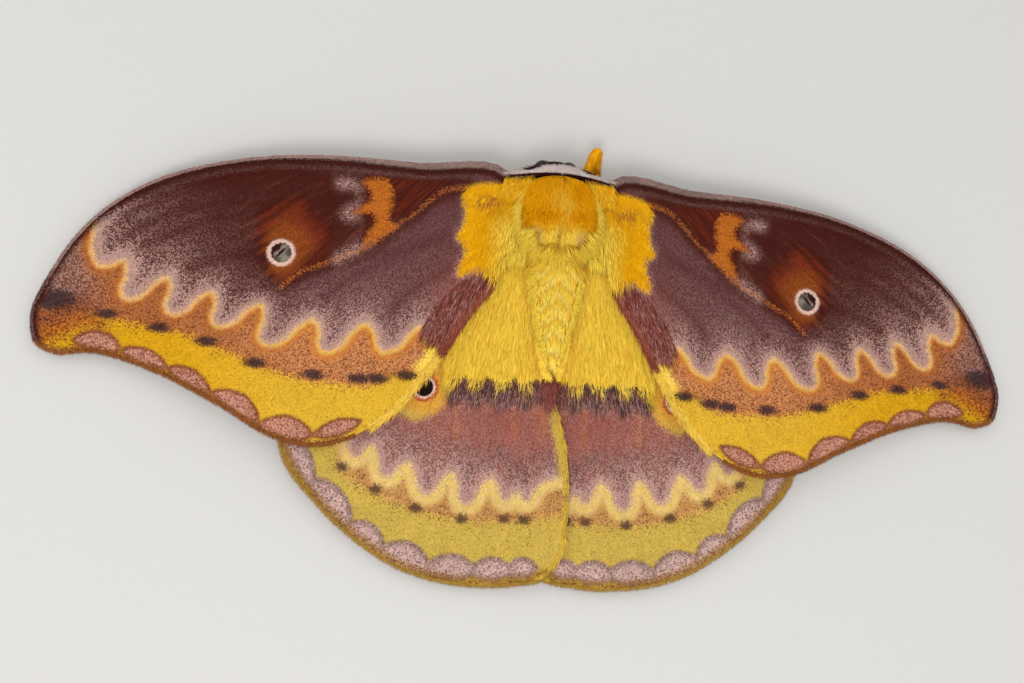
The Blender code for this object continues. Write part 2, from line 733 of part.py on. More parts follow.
PALP_ROUTE = [(0.95, 13.4, 3.3), (1.0, 14.2, 3.1), (0.9, 14.9, 3.5)]
PALP_RADII = [0.5, 0.62, 0.35]
ANTENNA_ROUTE = [(1.35, 13.0, 6.4), (3.3, 11.9, 6.1), (6.6, 10.4, 5.2), (10.6, 7.6, 4.5)]
SHAFT_RADII = [0.46, 0.36, 0.3, 0.26]
RAY_PAIRS = 15
FIRST_RAY = 0.13
LAST_RAY = 0.97
RAY_LENGTH = 2.3
RAY_RADIUS = 0.27
RAY_SECTIONS = ((0.0, 1.0), (0.5, 0.85), (0.9, 0.5))
RAY_BEND = 0.12
RAY_LEAN = 0.55
RAY_DROOP = 0.25


def ray(name, start, way, length, radius):
    """One tapered tooth of the comb, bending a little towards the feeler's tip."""
    shape = bmesh.new()
    across = way.cross(Vector((0, 0, 1))).normalized()
    up = across.cross(way).normalized()
    rings = []
    for share, thick in RAY_SECTIONS:
        centre = start + way * length * share + across * RAY_BEND * length * share**2
        rings.append(ring(shape, centre, across, up, radius * thick, radius * thick))
    close_loft(shape, rings, start + way * length + across * RAY_BEND * length)
    return from_bmesh(name, "antenna", shape)


def antenna(name, side):
    """A comb-like feeler folded back under the front edge of the wing."""
    draw = random.Random(5 + side)
    route = [Vector((side * x, y, z)) for x, y, z in ANTENNA_ROUTE]
    shaft = tube(name, "antenna", route, SHAFT_RADII, 1.0)
    line = evenly(curve_through(route, 6), 0.1)
    teeth = []
    for k in range(RAY_PAIRS):
        share = FIRST_RAY + (LAST_RAY - FIRST_RAY) * k / (RAY_PAIRS - 1)
        at = round(share * (len(line) - 2))
        along = (line[at + 1] - line[at]).normalized()
        level = along.cross(Vector((0, 0, 1))).normalized()
        leaf = math.sin(math.pi * (0.12 + 0.80 * share)) ** 0.8
        for turn in (-1, 1):
            way = (level * turn + along * RAY_LEAN - Vector((0, 0, RAY_DROOP))).normalized()
            length = varied(draw, RAY_LENGTH * leaf, 0.06)
            teeth.append(ray("tooth", line[at] + way * 0.1, way, length, RAY_RADIUS))
    join(shaft, teeth)
    return shaft


def clear_scene():
    """Remove what the scene holds, so that the moth is made afresh."""
    for item in list(bpy.data.objects):
        bpy.data.objects.remove(item)


def build():
    """Make every piece of the moth and scale it to metres."""
    clear_scene()
    thorax()
    abdomen_coat(abdomen())
    head()
    for side, word in ((-1, "left"), (1, "right")):
        eye("eye_" + word, side)
        turn = -side * SWING_DEGREES
        wing("forewing_" + word, side, FOREWING_OUTLINE, FOREWING_VEINS, forewing_height, turn)
        hind = wing("hindwing_" + word, side, HINDWING_OUTLINE, HINDWING_VEINS, hindwing_height, 0.0)
        hindwing_hair(hind, side)
        palp = [(side * x, y, z) for x, y, z in PALP_ROUTE]
        tube("palp_" + word, "palp", palp, PALP_RADII, 0.6)
        antenna("antenna_" + word, side)
        for kind in ("foreleg", "midleg", "hindleg"):
            name = f"{kind}_{word}"
            leg(name, side, *LEGS[name if name in LEGS else kind])
    to_frame = Matrix.Scale(METRES_PER_MM, 4) @ Matrix.Translation((0, -MIDDLE_OF_LENGTH_Y, 0))
    for piece in collection(OBJECT_NAME).objects:
        piece.data.transform(to_frame)


build()
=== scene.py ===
"""Looks for a life-size silk moth with spread wings: scales, fur, eyes, feelers, legs and a studio.

Sizes are in millimetres along the body, with x towards the wing on the right as seen from
above, y towards the head, z up and the floor at z = 0. y is counted from the wing hinges, so
MIDDLE_OF_LENGTH_Y is where the frame's own origin lies. A wing is drawn once, as a plan for
the side where x is positive, and both wings of a pair are made from it.
"""
import math

import bpy
import numpy as np
from mathutils import Matrix, Vector
from mathutils.geometry import delaunay_2d_cdt


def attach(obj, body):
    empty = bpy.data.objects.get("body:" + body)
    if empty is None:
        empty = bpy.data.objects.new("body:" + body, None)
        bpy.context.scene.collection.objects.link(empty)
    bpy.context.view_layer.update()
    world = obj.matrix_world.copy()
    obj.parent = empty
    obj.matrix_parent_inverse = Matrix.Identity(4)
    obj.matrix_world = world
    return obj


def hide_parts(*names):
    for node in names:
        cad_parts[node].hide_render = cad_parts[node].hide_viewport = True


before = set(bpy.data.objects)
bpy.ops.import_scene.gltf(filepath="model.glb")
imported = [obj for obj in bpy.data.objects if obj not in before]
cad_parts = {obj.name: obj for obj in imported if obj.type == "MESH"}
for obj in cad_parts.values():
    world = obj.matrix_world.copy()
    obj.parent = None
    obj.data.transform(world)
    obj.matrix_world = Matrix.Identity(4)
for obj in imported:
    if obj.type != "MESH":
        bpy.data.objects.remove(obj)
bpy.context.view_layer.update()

bl_info = {
    "name": "Silk moth looks",
    "version": (1, 0, 0),
    "blender": (4, 5, 0),
    "location": "3D View > Sidebar > Silk moth",
    "description": "Scales, fur, feelers and stage for a life-size silk moth with spread wings",
    "category": "Object",
}

MM = 0.001
MIDDLE_OF_LENGTH_Y = -15.5
BODY = "root"

# The body, as it is built in the solids.
THORAX_CENTRE = (0.0, 4.8, 7.0)
THORAX_HALF = (5.4, 5.7, 4.9)
ABDOMEN_FRONT = -1.24
ABDOMEN_LENGTH = 17.2
ABDOMEN_RADIUS = 4.1
ABDOMEN_FRONT_Z = 5.4
ABDOMEN_TIP_Z = 4.4
ABDOMEN_SEGMENTS = 7
HEAD_CENTRE = (0.0, 12.1, 4.5)
HEAD_HALF = (2.45, 1.65, 1.9)
EYE_PLACE = (1.9, 12.4, 4.7)
EYE_RADIUS = 1.25
PALP_ROUTE = [(0.95, 13.2, 3.1), (1.0, 13.9, 2.6), (0.9, 14.3, 2.0)]
PALP_RADII = (0.45, 0.6, 0.3)

# The surface that the wings follow, highest at the body.
ROOT_HEIGHT = 6.6
EDGE_HEIGHT = 0.75
DOME_HALF_WIDTH = 70.0
DOME_HALF_LENGTH = 50.0
DOME_CENTRE_Y = 3.0
DOME_POWER = 0.85
DOME_EASE = 0.05
HINDWING_LIFT = 0.3
FOREWING_LIFT = 1.55
FOREWING_TIP_LIFT = 0.45
MIDLINE_LAP = 0.55
SWING_CENTRE = (6.0, 2.0)
SWING_DEGREES = 1.44

# All scales and hairs of the wings lie along lines that fan out from this plan point.
FAN_CENTRE = (2.0, 25.0)
FAN_REACH = 45.0

FOREWING_OUTLINE = [
    (5.45, 7.2), (7.4, 10.4), (20.0, 10.6), (34.0, 10.5), (46.0, 8.8), (56.5, 5.0),
    (63.5, -0.6), (68.0, -8.0), (70.0, -16.0), (69.0, -18.7), (66.4, -19.9), (62.0, -19.4),
    (54.0, -21.2), (44.0, -25.6), (36.6, -29.3), (31.5, -30.1), (25.6, -28.3), (20.0, -23.5),
    (15.4, -16.8), (12.4, -11.3), (8.4, -5.4), (6.4, -0.6), (5.6, 3.2), (5.85, 5.2),
]
HINDWING_OUTLINE = [
    (5.5, 2.2), (9.0, 0.2), (17.0, -3.8), (26.0, -10.0), (33.5, -18.0), (37.2, -25.4),
    (36.2, -30.8), (31.4, -36.8), (25.5, -41.8), (19.5, -45.2), (11.5, -47.0), (4.4, -46.9),
    (0.2, -46.0), (-2.4, -43.0), (-3.0, -37.6), (-2.4, -27.5), (-0.2, -20.6), (1.9, -15.5),
    (3.6, -10.0), (4.4, -5.0), (4.2, -2.0), (4.8, 0.9),
]
FOREWING_VEINS = [
    [(6.4, 7.4), (20.0, 8.3), (36.0, 7.9), (50.0, 5.0), (60.0, -0.9), (66.5, -9.3)],
    [(6.3, 5.8), (20.0, 5.2), (36.0, 2.9), (50.0, 1.6), (60.5, -4.6), (67.2, -16.6)],
    [(6.3, 4.2), (14.0, 0.8), (22.0, -2.6), (31.0, -5.6), (39.2, -10.7), (44.6, -24.2)],
    [(38.2, 2.2), (50.0, -1.0), (58.2, -6.2), (62.8, -18.6)],
    [(38.4, -3.4), (51.0, -8.0), (57.2, -19.2)],
    [(36.4, -8.2), (45.9, -11.2), (50.8, -21.4)],
    [(22.6, -3.4), (30.5, -8.8), (34.6, -16.6), (37.9, -27.4)],
    [(6.6, 1.6), (13.6, -3.4), (21.4, -9.6), (26.4, -17.0), (30.8, -28.9)],
]
HINDWING_VEINS = [
    [(6.4, 1.2), (18.0, -6.4), (28.0, -14.6), (35.0, -24.0)],
    [(6.2, 0.2), (16.0, -8.0), (25.0, -16.4), (31.4, -24.0), (34.2, -31.2)],
    [(20.4, -15.8), (27.6, -23.6), (30.6, -35.4)],
    [(18.6, -19.2), (24.4, -27.5), (27.0, -39.2)],
    [(16.2, -21.4), (18.7, -28.7), (22.3, -42.2)],
    [(5.8, -1.0), (11.0, -10.0), (13.2, -19.0), (13.4, -30.0), (15.8, -44.8)],
    [(6.6, -5.4), (8.6, -14.0), (8.0, -30.0), (9.5, -45.5)],
    [(4.2, -12.0), (2.6, -24.0), (1.8, -36.0), (3.2, -45.2)],
]

# Markings of the forewing, in plan.
FORE_TOOTH_START = [(62.6, 1.0), (63.4, -2.4), (63.2, -5.8), (62.0, -7.6), (60.4, -7.4)]
FORE_TEETH = [
    (58.7, -6.7), (52.6, -8.7), (46.5, -10.3), (39.9, -11.6), (32.6, -13.2), (25.6, -13.2),
    (18.1, -13.1),
]
FORE_LOBES = [
    (57.2, -11.9), (51.2, -13.6), (44.8, -14.9), (38.2, -17.0), (30.2, -17.3), (22.0, -16.5),
    (16.6, -15.0),
]
FORE_TOOTH_END = [(15.4, -14.6), (13.0, -13.4)]
FORE_BAND = [
    (72.0, -18.6), (67.0, -16.2), (64.7, -15.1), (61.7, -14.0), (57.7, -15.0), (53.7, -15.5),
    (49.8, -16.1), (45.7, -17.4), (40.1, -19.5), (34.5, -21.0), (27.8, -21.4), (23.5, -21.1),
    (21.6, -19.7), (16.0, -19.6),
]
FORE_LUNULES = [
    (64.2, -17.8), (57.7, -18.7), (51.4, -20.8), (45.4, -23.7), (38.6, -27.5), (31.4, -28.6),
    (25.2, -26.2),
]
FORE_LUNULE_BULGES = [(1.8, 0.6), (1.3, 0.8), (1.4, 0.7), (2.0, 0.3), (1.8, 1.2), (1.1, 0.9)]
FORE_SPOTS = [(60.2, -14.0), (53.1, -15.4), (46.6, -16.9), (39.9, -19.4), (32.2, -20.4),
              (26.0, -20.5), (23.6, -20.3), (19.6, -19.6)]
APEX_SPOT = (67.2, -12.4)
WINDOW = (37.9, -4.0)
WINDOW_RADIUS = 1.38
GLOW = [(39.8, -2.2), (40.0, 0.6), (38.6, 2.3), (35.8, 3.1), (34.6, 0.9), (32.4, -1.0),
        (32.6, -3.4), (35.0, -5.2), (37.2, -6.8), (38.9, -5.6)]
FLAME = [
    (27.6, 7.0), (26.1, 7.6), (24.2, 7.4), (23.4, 4.4), (23.8, 1.8), (22.6, 0.9), (24.7, -0.8),
    (27.0, -2.2), (26.3, -0.2), (25.3, 1.9), (26.4, 2.7), (28.7, 2.4), (26.7, 4.0), (26.2, 5.4),
]
HOOK = [(30.6, 6.6), (28.6, 6.4), (27.4, 5.0), (27.8, 3.7), (29.6, 2.2), (27.0, 1.6),
        (26.6, 0.2), (28.2, -2.9), (30.3, -4.2)]
THIN_LINE = [
    (37.6, -9.0), (35.4, -6.8), (33.1, -5.6), (30.0, -4.1), (27.2, -2.8), (24.7, -1.1),
    (22.9, 0.9), (20.6, 2.7), (18.5, 4.9), (16.1, 6.8), (13.2, 7.6),
]
BASAL = [
    (2.0, 12.0), (5.8, 11.6), (7.4, 9.3), (9.8, 8.5), (12.9, 7.6), (13.6, 6.2), (13.1, 4.1),
    (13.3, 2.0), (14.0, 0.1), (13.0, -0.6), (12.9, -2.3), (13.6, -4.2), (13.5, -5.2),
    (12.1, -4.6), (10.9, -4.1), (9.6, -4.6), (8.5, -5.5), (7.9, -5.9), (2.0, -7.0),
]
BASAL_SPOT = (9.9, 6.0)
ROSY_PATCH = [(8.2, -5.6), (10.4, -4.8), (13.0, -5.6), (16.0, -9.0), (18.0, -13.0),
              (16.6, -14.8), (13.6, -13.6), (11.6, -10.4), (9.4, -7.4)]

# Markings of the hindwing, in plan.
HIND_TOOTH_START = [(30.5, -20.0), (28.8, -25.4), (27.6, -28.6)]
HIND_TEETH = [(24.1, -28.9), (19.3, -31.0), (13.2, -32.0), (7.7, -32.6), (4.1, -34.4)]
HIND_LOBES = [(22.0, -33.1), (16.4, -35.2), (11.0, -36.4), (5.4, -35.6), (2.9, -35.7)]
HIND_TOOTH_END = [(0.6, -33.0), (-4.0, -32.0)]
HIND_FIRST_LOBE = (26.4, -30.6)
HIND_BAND = [
    (31.5, -20.0), (29.8, -26.0), (28.9, -29.6), (28.4, -31.8), (26.0, -33.8), (20.8, -36.2),
    (16.6, -37.4), (11.9, -38.1), (5.5, -38.1), (2.3, -37.8), (-4.0, -37.0),
]
HIND_LUNULES = [
    (36.0, -27.6), (32.1, -33.8), (26.9, -39.7), (22.3, -42.8), (15.8, -44.9), (9.6, -44.9),
    (4.6, -44.8), (1.4, -44.2),
]
HIND_LUNULE_BULGES = [(1.2, 0.5), (1.9, 0.6), (1.8, 0.5), (2.0, 0.8), (1.6, 0.8), (1.3, 0.8),
                      (1.0, 0.7)]
HIND_SPOTS = [(28.0, -31.7), (23.4, -34.5), (17.8, -36.8), (11.5, -38.0), (5.7, -37.8),
              (3.0, -37.9)]
EYESPOT = (17.6, -20.5)
EYESPOT_SHIFT = 0.6
EYESPOT_RADIUS = 1.25
MAUVE_FIELD = [
    (14.4, -12.5), (14.6, -18.0), (14.2, -20.6), (15.0, -22.8), (16.6, -24.4), (18.6, -25.2),
    (20.6, -24.4), (22.4, -24.9), (25.2, -26.6), (29.0, -29.0), (29.0, -40.0), (-1.2, -40.0),
    (-1.2, -30.0), (-0.3, -26.0), (0.5, -20.5), (2.5, -19.0), (6.5, -20.2), (12.6, -20.0),
    (13.4, -17.0), (13.7, -13.0),
]
HIND_BASAL = [(-6.0, 4.0), (12.0, -4.0), (13.4, -12.0), (13.4, -19.5), (7.0, -20.0), (-6.0, -19.5)]
YELLOW_HAIR = [
    (3.0, 0.5), (8.5, -2.5), (12.6, -8.0), (14.4, -13.0), (14.2, -18.8), (12.4, -19.0),
    (11.2, -19.0), (9.2, -18.4), (7.7, -19.0), (5.9, -18.8), (3.2, -18.8), (1.4, -17.4),
    (2.2, -14.5), (3.4, -8.0), (3.6, -2.0),
]


def tint(red, green, blue):
    """A colour given as display values from 0 to 255, as the linear light that shaders use."""
    shares = [c / 255.0 for c in (red, green, blue)]
    return tuple(s / 12.92 if s <= 0.04045 else ((s + 0.055) / 1.055) ** 2.4 for s in shares)


def rise(low, high, value):
    """Rise softly from 0 to 1 between low and high."""
    share = np.clip((np.asarray(value, float) - low) / (high - low), 0.0, 1.0)
    return share * share * (3.0 - 2.0 * share)


def hump(value, width):
    """1 at zero, falling off softly over the width."""
    return np.exp(-((np.asarray(value, float) / width) ** 2))


def unit(vectors):
    """The same directions with length one."""
    return vectors / np.maximum(np.linalg.norm(vectors, axis=-1, keepdims=True), 1e-9)


def curve(points, steps=6, closed=False):
    """Points on a smooth curve through the given ones, steps to each span."""
    points = np.array(points, float)
    count = len(points)

    def at(i):
        return points[i % count] if closed else points[min(max(i, 0), count - 1)]

    def heading(i):
        before, after = at(i) - at(i - 1), at(i + 1) - at(i)
        a, b = np.linalg.norm(before), np.linalg.norm(after)
        if a == 0.0 or b == 0.0:
            return unit(before + after)
        return (before / a * b + after / b * a) / (a + b)

    line = []
    for i in range(count if closed else count - 1):
        start, end = at(i), at(i + 1)
        reach = np.linalg.norm(end - start)
        for t in np.arange(steps) / steps:
            line.append(
                start * (2 * t**3 - 3 * t**2 + 1) + heading(i) * reach * (t**3 - 2 * t**2 + t)
                + end * (3 * t**2 - 2 * t**3) + heading(i + 1) * reach * (t**3 - t**2)
            )
    if not closed:
        line.append(points[-1])
    return np.array(line)


def even(line, spacing):
    """The same line with its points about one spacing apart."""
    gone = np.r_[0.0, np.cumsum(np.linalg.norm(np.diff(line, axis=0), axis=1))]
    count = max(1, round(gone[-1] / spacing))
    marks = np.linspace(0.0, gone[-1], count + 1)
    return np.stack([np.interp(marks, gone, line[:, k]) for k in range(line.shape[1])], 1)


def away(places, line):
    """Shortest distance from each plan place to a line of points."""
    starts, steps = line[:-1], np.diff(line, axis=0)
    squares = np.maximum((steps**2).sum(1), 1e-12)
    found = np.empty(len(places))
    for first in range(0, len(places), 3000):
        gap = places[first:first + 3000, None] - starts
        share = np.clip((gap * steps).sum(2) / squares, 0.0, 1.0)
        gap -= share[..., None] * steps
        found[first:first + 3000] = np.sqrt((gap**2).sum(2).min(1))
    return found


def inside(places, outline):
    """Whether each plan place lies inside a closed outline."""
    found = np.zeros(len(places), bool)
    x, y = places.T
    for (x1, y1), (x2, y2) in zip(outline, np.roll(outline, -1, 0)):
        if y1 != y2:
            found ^= ((y1 > y) != (y2 > y)) & (x < (x2 - x1) * (y - y1) / (y2 - y1) + x1)
    return found


def signed(places, outline, line=None):
    """Distance to a line, or to the outline, counted positive inside the outline."""
    outline = np.array(outline, float)
    edge = np.vstack([outline, outline[:1]]) if line is None else line
    return away(places, edge) * np.where(inside(places, outline), 1.0, -1.0)


def toothed(start, teeth, lobes, end, bulge):
    """A scalloped line: a sharp tooth, a bulging side, a round lobe and a slope to the next."""
    line = list(start)
    for i, (tooth, lobe) in enumerate(zip(teeth, lobes)):
        tooth, lobe = np.array(tooth), np.array(lobe)
        after = np.array(teeth[i + 1] if i + 1 < len(teeth) else end[0])
        down, back = lobe - tooth, after - lobe
        out = np.array((-down[1], down[0])) / 5.0
        under = np.array((-back[1], back[0])) / 5.8
        line += [tooth, tooth + 0.32 * down + 0.1 * bulge * out,
                 tooth + 0.62 * down + bulge * out, tooth + 0.88 * down + bulge * out, lobe,
                 lobe + 0.3 * back + 0.4 * under, lobe + 0.64 * back - 0.15 * under]
    return curve(line + list(end), 3)


def lens(start, end, bulge_in, bulge_out):
    """The outline of a lens-shaped mark between two points, wider towards the body."""
    start, end = np.array(start), np.array(end)
    chord = end - start
    inward = unit(np.array((chord[1], -chord[0])))
    share = np.linspace(0.0, 1.0, 9)[:, None]
    arch = np.sin(np.pi * share) ** 0.75
    return np.vstack([start + chord * share + inward * bulge_in * arch,
                      (start + chord * share - inward * bulge_out * arch)[::-1]])


def dome(x, y):
    """Height over the floor of the surface that the wings follow."""
    left = 1.0 - np.hypot(x / DOME_HALF_WIDTH, (y - DOME_CENTRE_Y) / DOME_HALF_LENGTH)
    eased = 0.5 * (left + np.hypot(left, DOME_EASE))
    return EDGE_HEIGHT + (ROOT_HEIGHT - EDGE_HEIGHT) * eased**DOME_POWER


def forewing_height(x, y, _):
    """Middle height of the forewing on either side, clear over the hindwing and low at the tip."""
    return dome(x, y) + FOREWING_LIFT + (FOREWING_TIP_LIFT - FOREWING_LIFT) * rise(36, 66, abs(x))


def hindwing_height(x, y, side):
    """Middle height of the hindwing. Past the abdomen the left one laps over the right."""
    near, behind = 1.0 - rise(0.5, 7.0, x * side), 1.0 - rise(-20.0, -14.0, y)
    return dome(x, y) + HINDWING_LIFT - side * MIDLINE_LAP * near * behind


def to_frame(places):
    """Millimetres from the wing hinges as metres in the frame."""
    return (places - (0.0, MIDDLE_OF_LENGTH_Y, 0.0)) * MM


# The upper skin's usual height over the wing's middle, and a distance clear of all veins.
SKIN_LIFT = 0.13
OFF_VEINS = 3.0
# Seeds of random draws. Each wing adds its own.
SCALE_SEED = 40
FOREWING_FUR_SEED = 60
HINDWING_FUR_SEED = 70
GAP_FUR_SEED = 90


class Wing:
    """One wing: its plan for the side where x is positive, and its place on the moth."""

    def __init__(self, kind, side):
        self.kind, self.side = kind, side
        self.name = f"{kind}_{'right' if side > 0 else 'left'}"
        fore = kind == "forewing"
        self.outline = curve(FOREWING_OUTLINE if fore else HINDWING_OUTLINE, 6, True)
        self.veins = [curve(v, 8) for v in (FOREWING_VEINS if fore else HINDWING_VEINS)]
        self.height = forewing_height if fore else hindwing_height
        self.turn = math.radians(-side * SWING_DEGREES) if fore else 0.0
        self.seed = (3 if fore else 7) + side
        self.slot = kind + "_scales"
        self.eyespot = np.array(EYESPOT) + (EYESPOT_SHIFT * (side > 0), 0.0)

    def vein_distance(self, plan):
        """Distance to the nearest vein."""
        return np.min([away(plan, vein) for vein in self.veins], axis=0)

    def place(self, plan, lift):
        """Plan points raised off the wing's middle height, in millimetres on the moth."""
        arm = plan - SWING_CENTRE
        cos, sin = math.cos(self.turn), math.sin(self.turn)
        x = (SWING_CENTRE[0] + arm[..., 0] * cos - arm[..., 1] * sin) * self.side
        y = SWING_CENTRE[1] + arm[..., 0] * sin + arm[..., 1] * cos
        return np.stack([x, y, self.height(x, y, self.side) + lift], -1)

    def relief(self, plan, veins):
        """Height of the upper skin over the middle: ridged veins and slack membrane between."""
        wave = np.sin(plan[..., 0] * 0.55 + plan[..., 1] * 0.2) * np.sin(plan[..., 1] * 0.43)
        ridge = hump(veins, 0.32) * rise(9.0, 17.0, plan[..., 0] - plan[..., 1])
        return SKIN_LIFT + 0.13 * ridge + 0.06 * rise(0.4, 2.6, veins) * wave

    def unwrap(self, plan, under=False):
        """Where a plan point lies on the wing's flat pattern, upper and lower sides apart."""
        low, high = self.outline.min(0) - 1.0, self.outline.max(0) + 1.0
        span = max(high[0] - low[0], 2.0 * (high[1] - low[1]))
        flat = (plan - low) / span
        return np.stack([flat[..., 0], flat[..., 1] + (0.5 if under else 0.0)], -1)


def fan(plan):
    """Distance along the lie of the scales, place across it and the way that they lie."""
    arm = plan - FAN_CENTRE
    reach = np.hypot(arm[..., 0], arm[..., 1])
    turn = np.arctan2(arm[..., 0], -arm[..., 1])
    return reach, turn * FAN_REACH, arm / reach[..., None]


FORE_LINE = toothed(FORE_TOOTH_START, FORE_TEETH, FORE_LOBES, FORE_TOOTH_END, 1.0)
HIND_LINE = toothed(HIND_TOOTH_START, [(27.9, -28.8)] + HIND_TEETH,
                    [HIND_FIRST_LOBE] + HIND_LOBES, HIND_TOOTH_END, 0.55)
FAR_OUT = [(10.0, -80.0), (100.0, -80.0), (100.0, 0.0)]
PAST_HIND_LINE = [(-40.0, -32.0)], FAR_OUT


def beyond(plan, line, *corners):
    """Distance from a line, positive on the side where the corners close it to an outline."""
    return signed(plan, np.vstack([line, *corners]), line)


def patch(plan, points, steps=3):
    """Distance into the smooth patch through some points."""
    return signed(plan, curve(points, steps, True))


def lunule_field(plan, gaps, bulges):
    """Distance into the nearest of a row of lens-shaped marks."""
    marks = [lens(a, b, *bulge) for a, b, bulge in zip(gaps, gaps[1:], bulges)]
    return np.max([signed(plan, mark) for mark in marks], axis=0)


def dabs(plan, centres, width, height):
    """Soft spots with a full middle."""
    spots = [hump(np.hypot((plan[:, 0] - x) / width, (plan[:, 1] - y) / height), 1.0)
             for x, y in centres]
    return np.max(spots, axis=0)


def fading(deep, reach, start, edge):
    """Bloom that fades inwards from a scalloped line: a wide soft part and a bright edge."""
    return reach * np.exp(-deep / 6.0) + edge[0] * np.exp(-np.maximum(deep - start, 0.0) / edge[1])


def forewing_marks(wing, plan):
    """The forewing's markings at plan points, each as distances or strengths."""
    x, y = plan.T
    costa, outer, inner = [away(plan, wing.outline[a:b]) for a, b in ((6, 54), (50, 95), (95, 126))]
    veins, ring = wing.vein_distance(plan), np.hypot(*(plan - WINDOW).T)
    zigzag = beyond(plan, FORE_LINE, FAR_OUT)
    thin = curve(THIN_LINE, 5)
    above = beyond(plan, thin, [(0.0, 40.0), (60.0, 40.0), (60.0, -8.0)])
    basal, glow = patch(plan, BASAL), patch(plan, GLOW)
    deep = np.maximum(-zigzag, 0.0)
    tip, outward, below = rise(44.0, 62.0, x), rise(32.0, 52.0, x), rise(-0.4, -2.0, above)
    bloom = fading(deep, 0.29, 0.6, (0.75, 1.1))
    bloom += 0.26 * tip * np.exp(-deep / 7.0) + 0.06 * below * rise(40.0, 28.0, x)
    bloom += 0.03 * outward * rise(18.0, 10.0, deep)
    bloom *= 0.06 + 0.94 * rise(1.5, 7.0, costa + 5.0 * tip)
    bloom *= 1.0 - 0.9 * hump(ring, 5.6)
    bloom *= 1.0 - 0.85 * rise(-0.4, 1.0, above) * rise(36.0, 31.0, x) * rise(0.1, 3, deep)
    bloom *= 1.0 - 0.55 * hump(veins, 0.8) * rise(1.0, 4.0, deep)
    bloom += 0.35 * hump(np.minimum(basal, 0.0), 0.7) * rise(7.0, 4.5, y)
    bloom += 0.5 * hump(away(plan, curve(HOOK, 4)), 0.9)
    bloom += 0.3 * hump(costa - 1.6, 1.1) * hump(x - 20.0, 9.0)
    warm = 0.4 * rise(-0.2, 1.6, above) * rise(12.0, 15.0, x) * rise(30.0, 25.5, x)
    costal = 0.3 + 0.6 * rise(46.0, 12.0, x) - costa - 0.5 * rise(56, 62, x)
    return {
        "zigzag": zigzag, "band": beyond(plan, curve(FORE_BAND, 4), FAR_OUT), "outer": outer,
        "vein": veins, "costal": costal - 3.0 * rise(8.0, 7.2, x), "field": -zigzag,
        "lunule": lunule_field(plan, FORE_LUNULES, FORE_LUNULE_BULGES) + 0.12,
        "spot": np.maximum(dabs(plan, FORE_SPOTS, 1.7, 0.75),
                           1.05 * dabs(plan, [APEX_SPOT], 3.3, 1.6)),
        "bloom": np.clip(bloom, 0.0, 1.0), "ring": ring, "basal": basal, "inner": inner,
        "warm": np.maximum(warm * rise(1.6, 3.2, costa), rise(-3.0, 2.4, glow)),
        "flare": np.maximum(patch(plan, FLAME, 2),
                            0.16 - 0.2 * rise(12.0, 18.0, x) - away(plan, thin)),
        "rosy": hump(np.hypot(x - 13.5, (y + 9.5) * 0.7), 4.0),
        "tip": rise(59.0, 65.0, x - 0.25 * (y + 12.0)),
        "outward": outward, "dusk": 0.9 * below * rise(46.0, 36.0, x),
    }


def hindwing_marks(wing, plan):
    """The hindwing's markings at plan points, under the same names as the forewing's."""
    x, y = plan.T
    zigzag = beyond(plan, HIND_LINE, *PAST_HIND_LINE)
    bloom = fading(np.maximum(-zigzag, 0.0), 0.32, 0.8, (0.5, 0.8))
    bloom += 0.07 + 0.06 * rise(8.0, 14.0, x)
    bloom += 0.25 * hump(y + 21.5, 1.6) * rise(14.5, 12.5, x)
    streak = hump(x - 1.2, 1.6) + hump(x - 4.9, 0.8) + hump(x - 13, 0.9)
    return {
        "zigzag": zigzag, "band": beyond(plan, curve(HIND_BAND, 4), [(-40.0, -37.0)], FAR_OUT),
        "outer": away(plan, wing.outline[30:74]), "vein": wing.vein_distance(plan),
        "lunule": lunule_field(plan, HIND_LUNULES, HIND_LUNULE_BULGES) + 0.55,
        "spot": dabs(plan, HIND_SPOTS, 1.0, 0.7),
        "field": np.minimum(patch(plan, MAUVE_FIELD), -zigzag),
        "bloom": np.clip(bloom, 0.0, 1.0), "ring": np.hypot(*(plan - wing.eyespot).T),
        "warm": 0.75 * streak * rise(-18.0, -21.0, y) * rise(-31.0, -26.0, y),
        "basal": patch(plan, HIND_BASAL), "rosy": 0.35 * hump(x - 5.5, 4.0),
    }


MARKS = {"forewing": forewing_marks, "hindwing": hindwing_marks}


class Amount:
    """A number in a material. Plain arithmetic on it adds the Math nodes."""

    def __init__(self, finish, socket):
        self.finish, self.socket = finish, socket

    def maths(self, operation, *others):
        """Add a Math node that works on this amount and others."""
        values = dict(enumerate((self, *others)))
        node = self.finish.node("ShaderNodeMath", {"operation": operation}, values)
        return Amount(self.finish, node.outputs[0])

    def __add__(self, other):
        return self.maths("ADD", other)

    def __sub__(self, other):
        return self.maths("SUBTRACT", other)

    def __rsub__(self, other):
        return (self * -1.0) + other

    def __mul__(self, other):
        return self.maths("MULTIPLY", other)

    __radd__ = __add__
    __rmul__ = __mul__


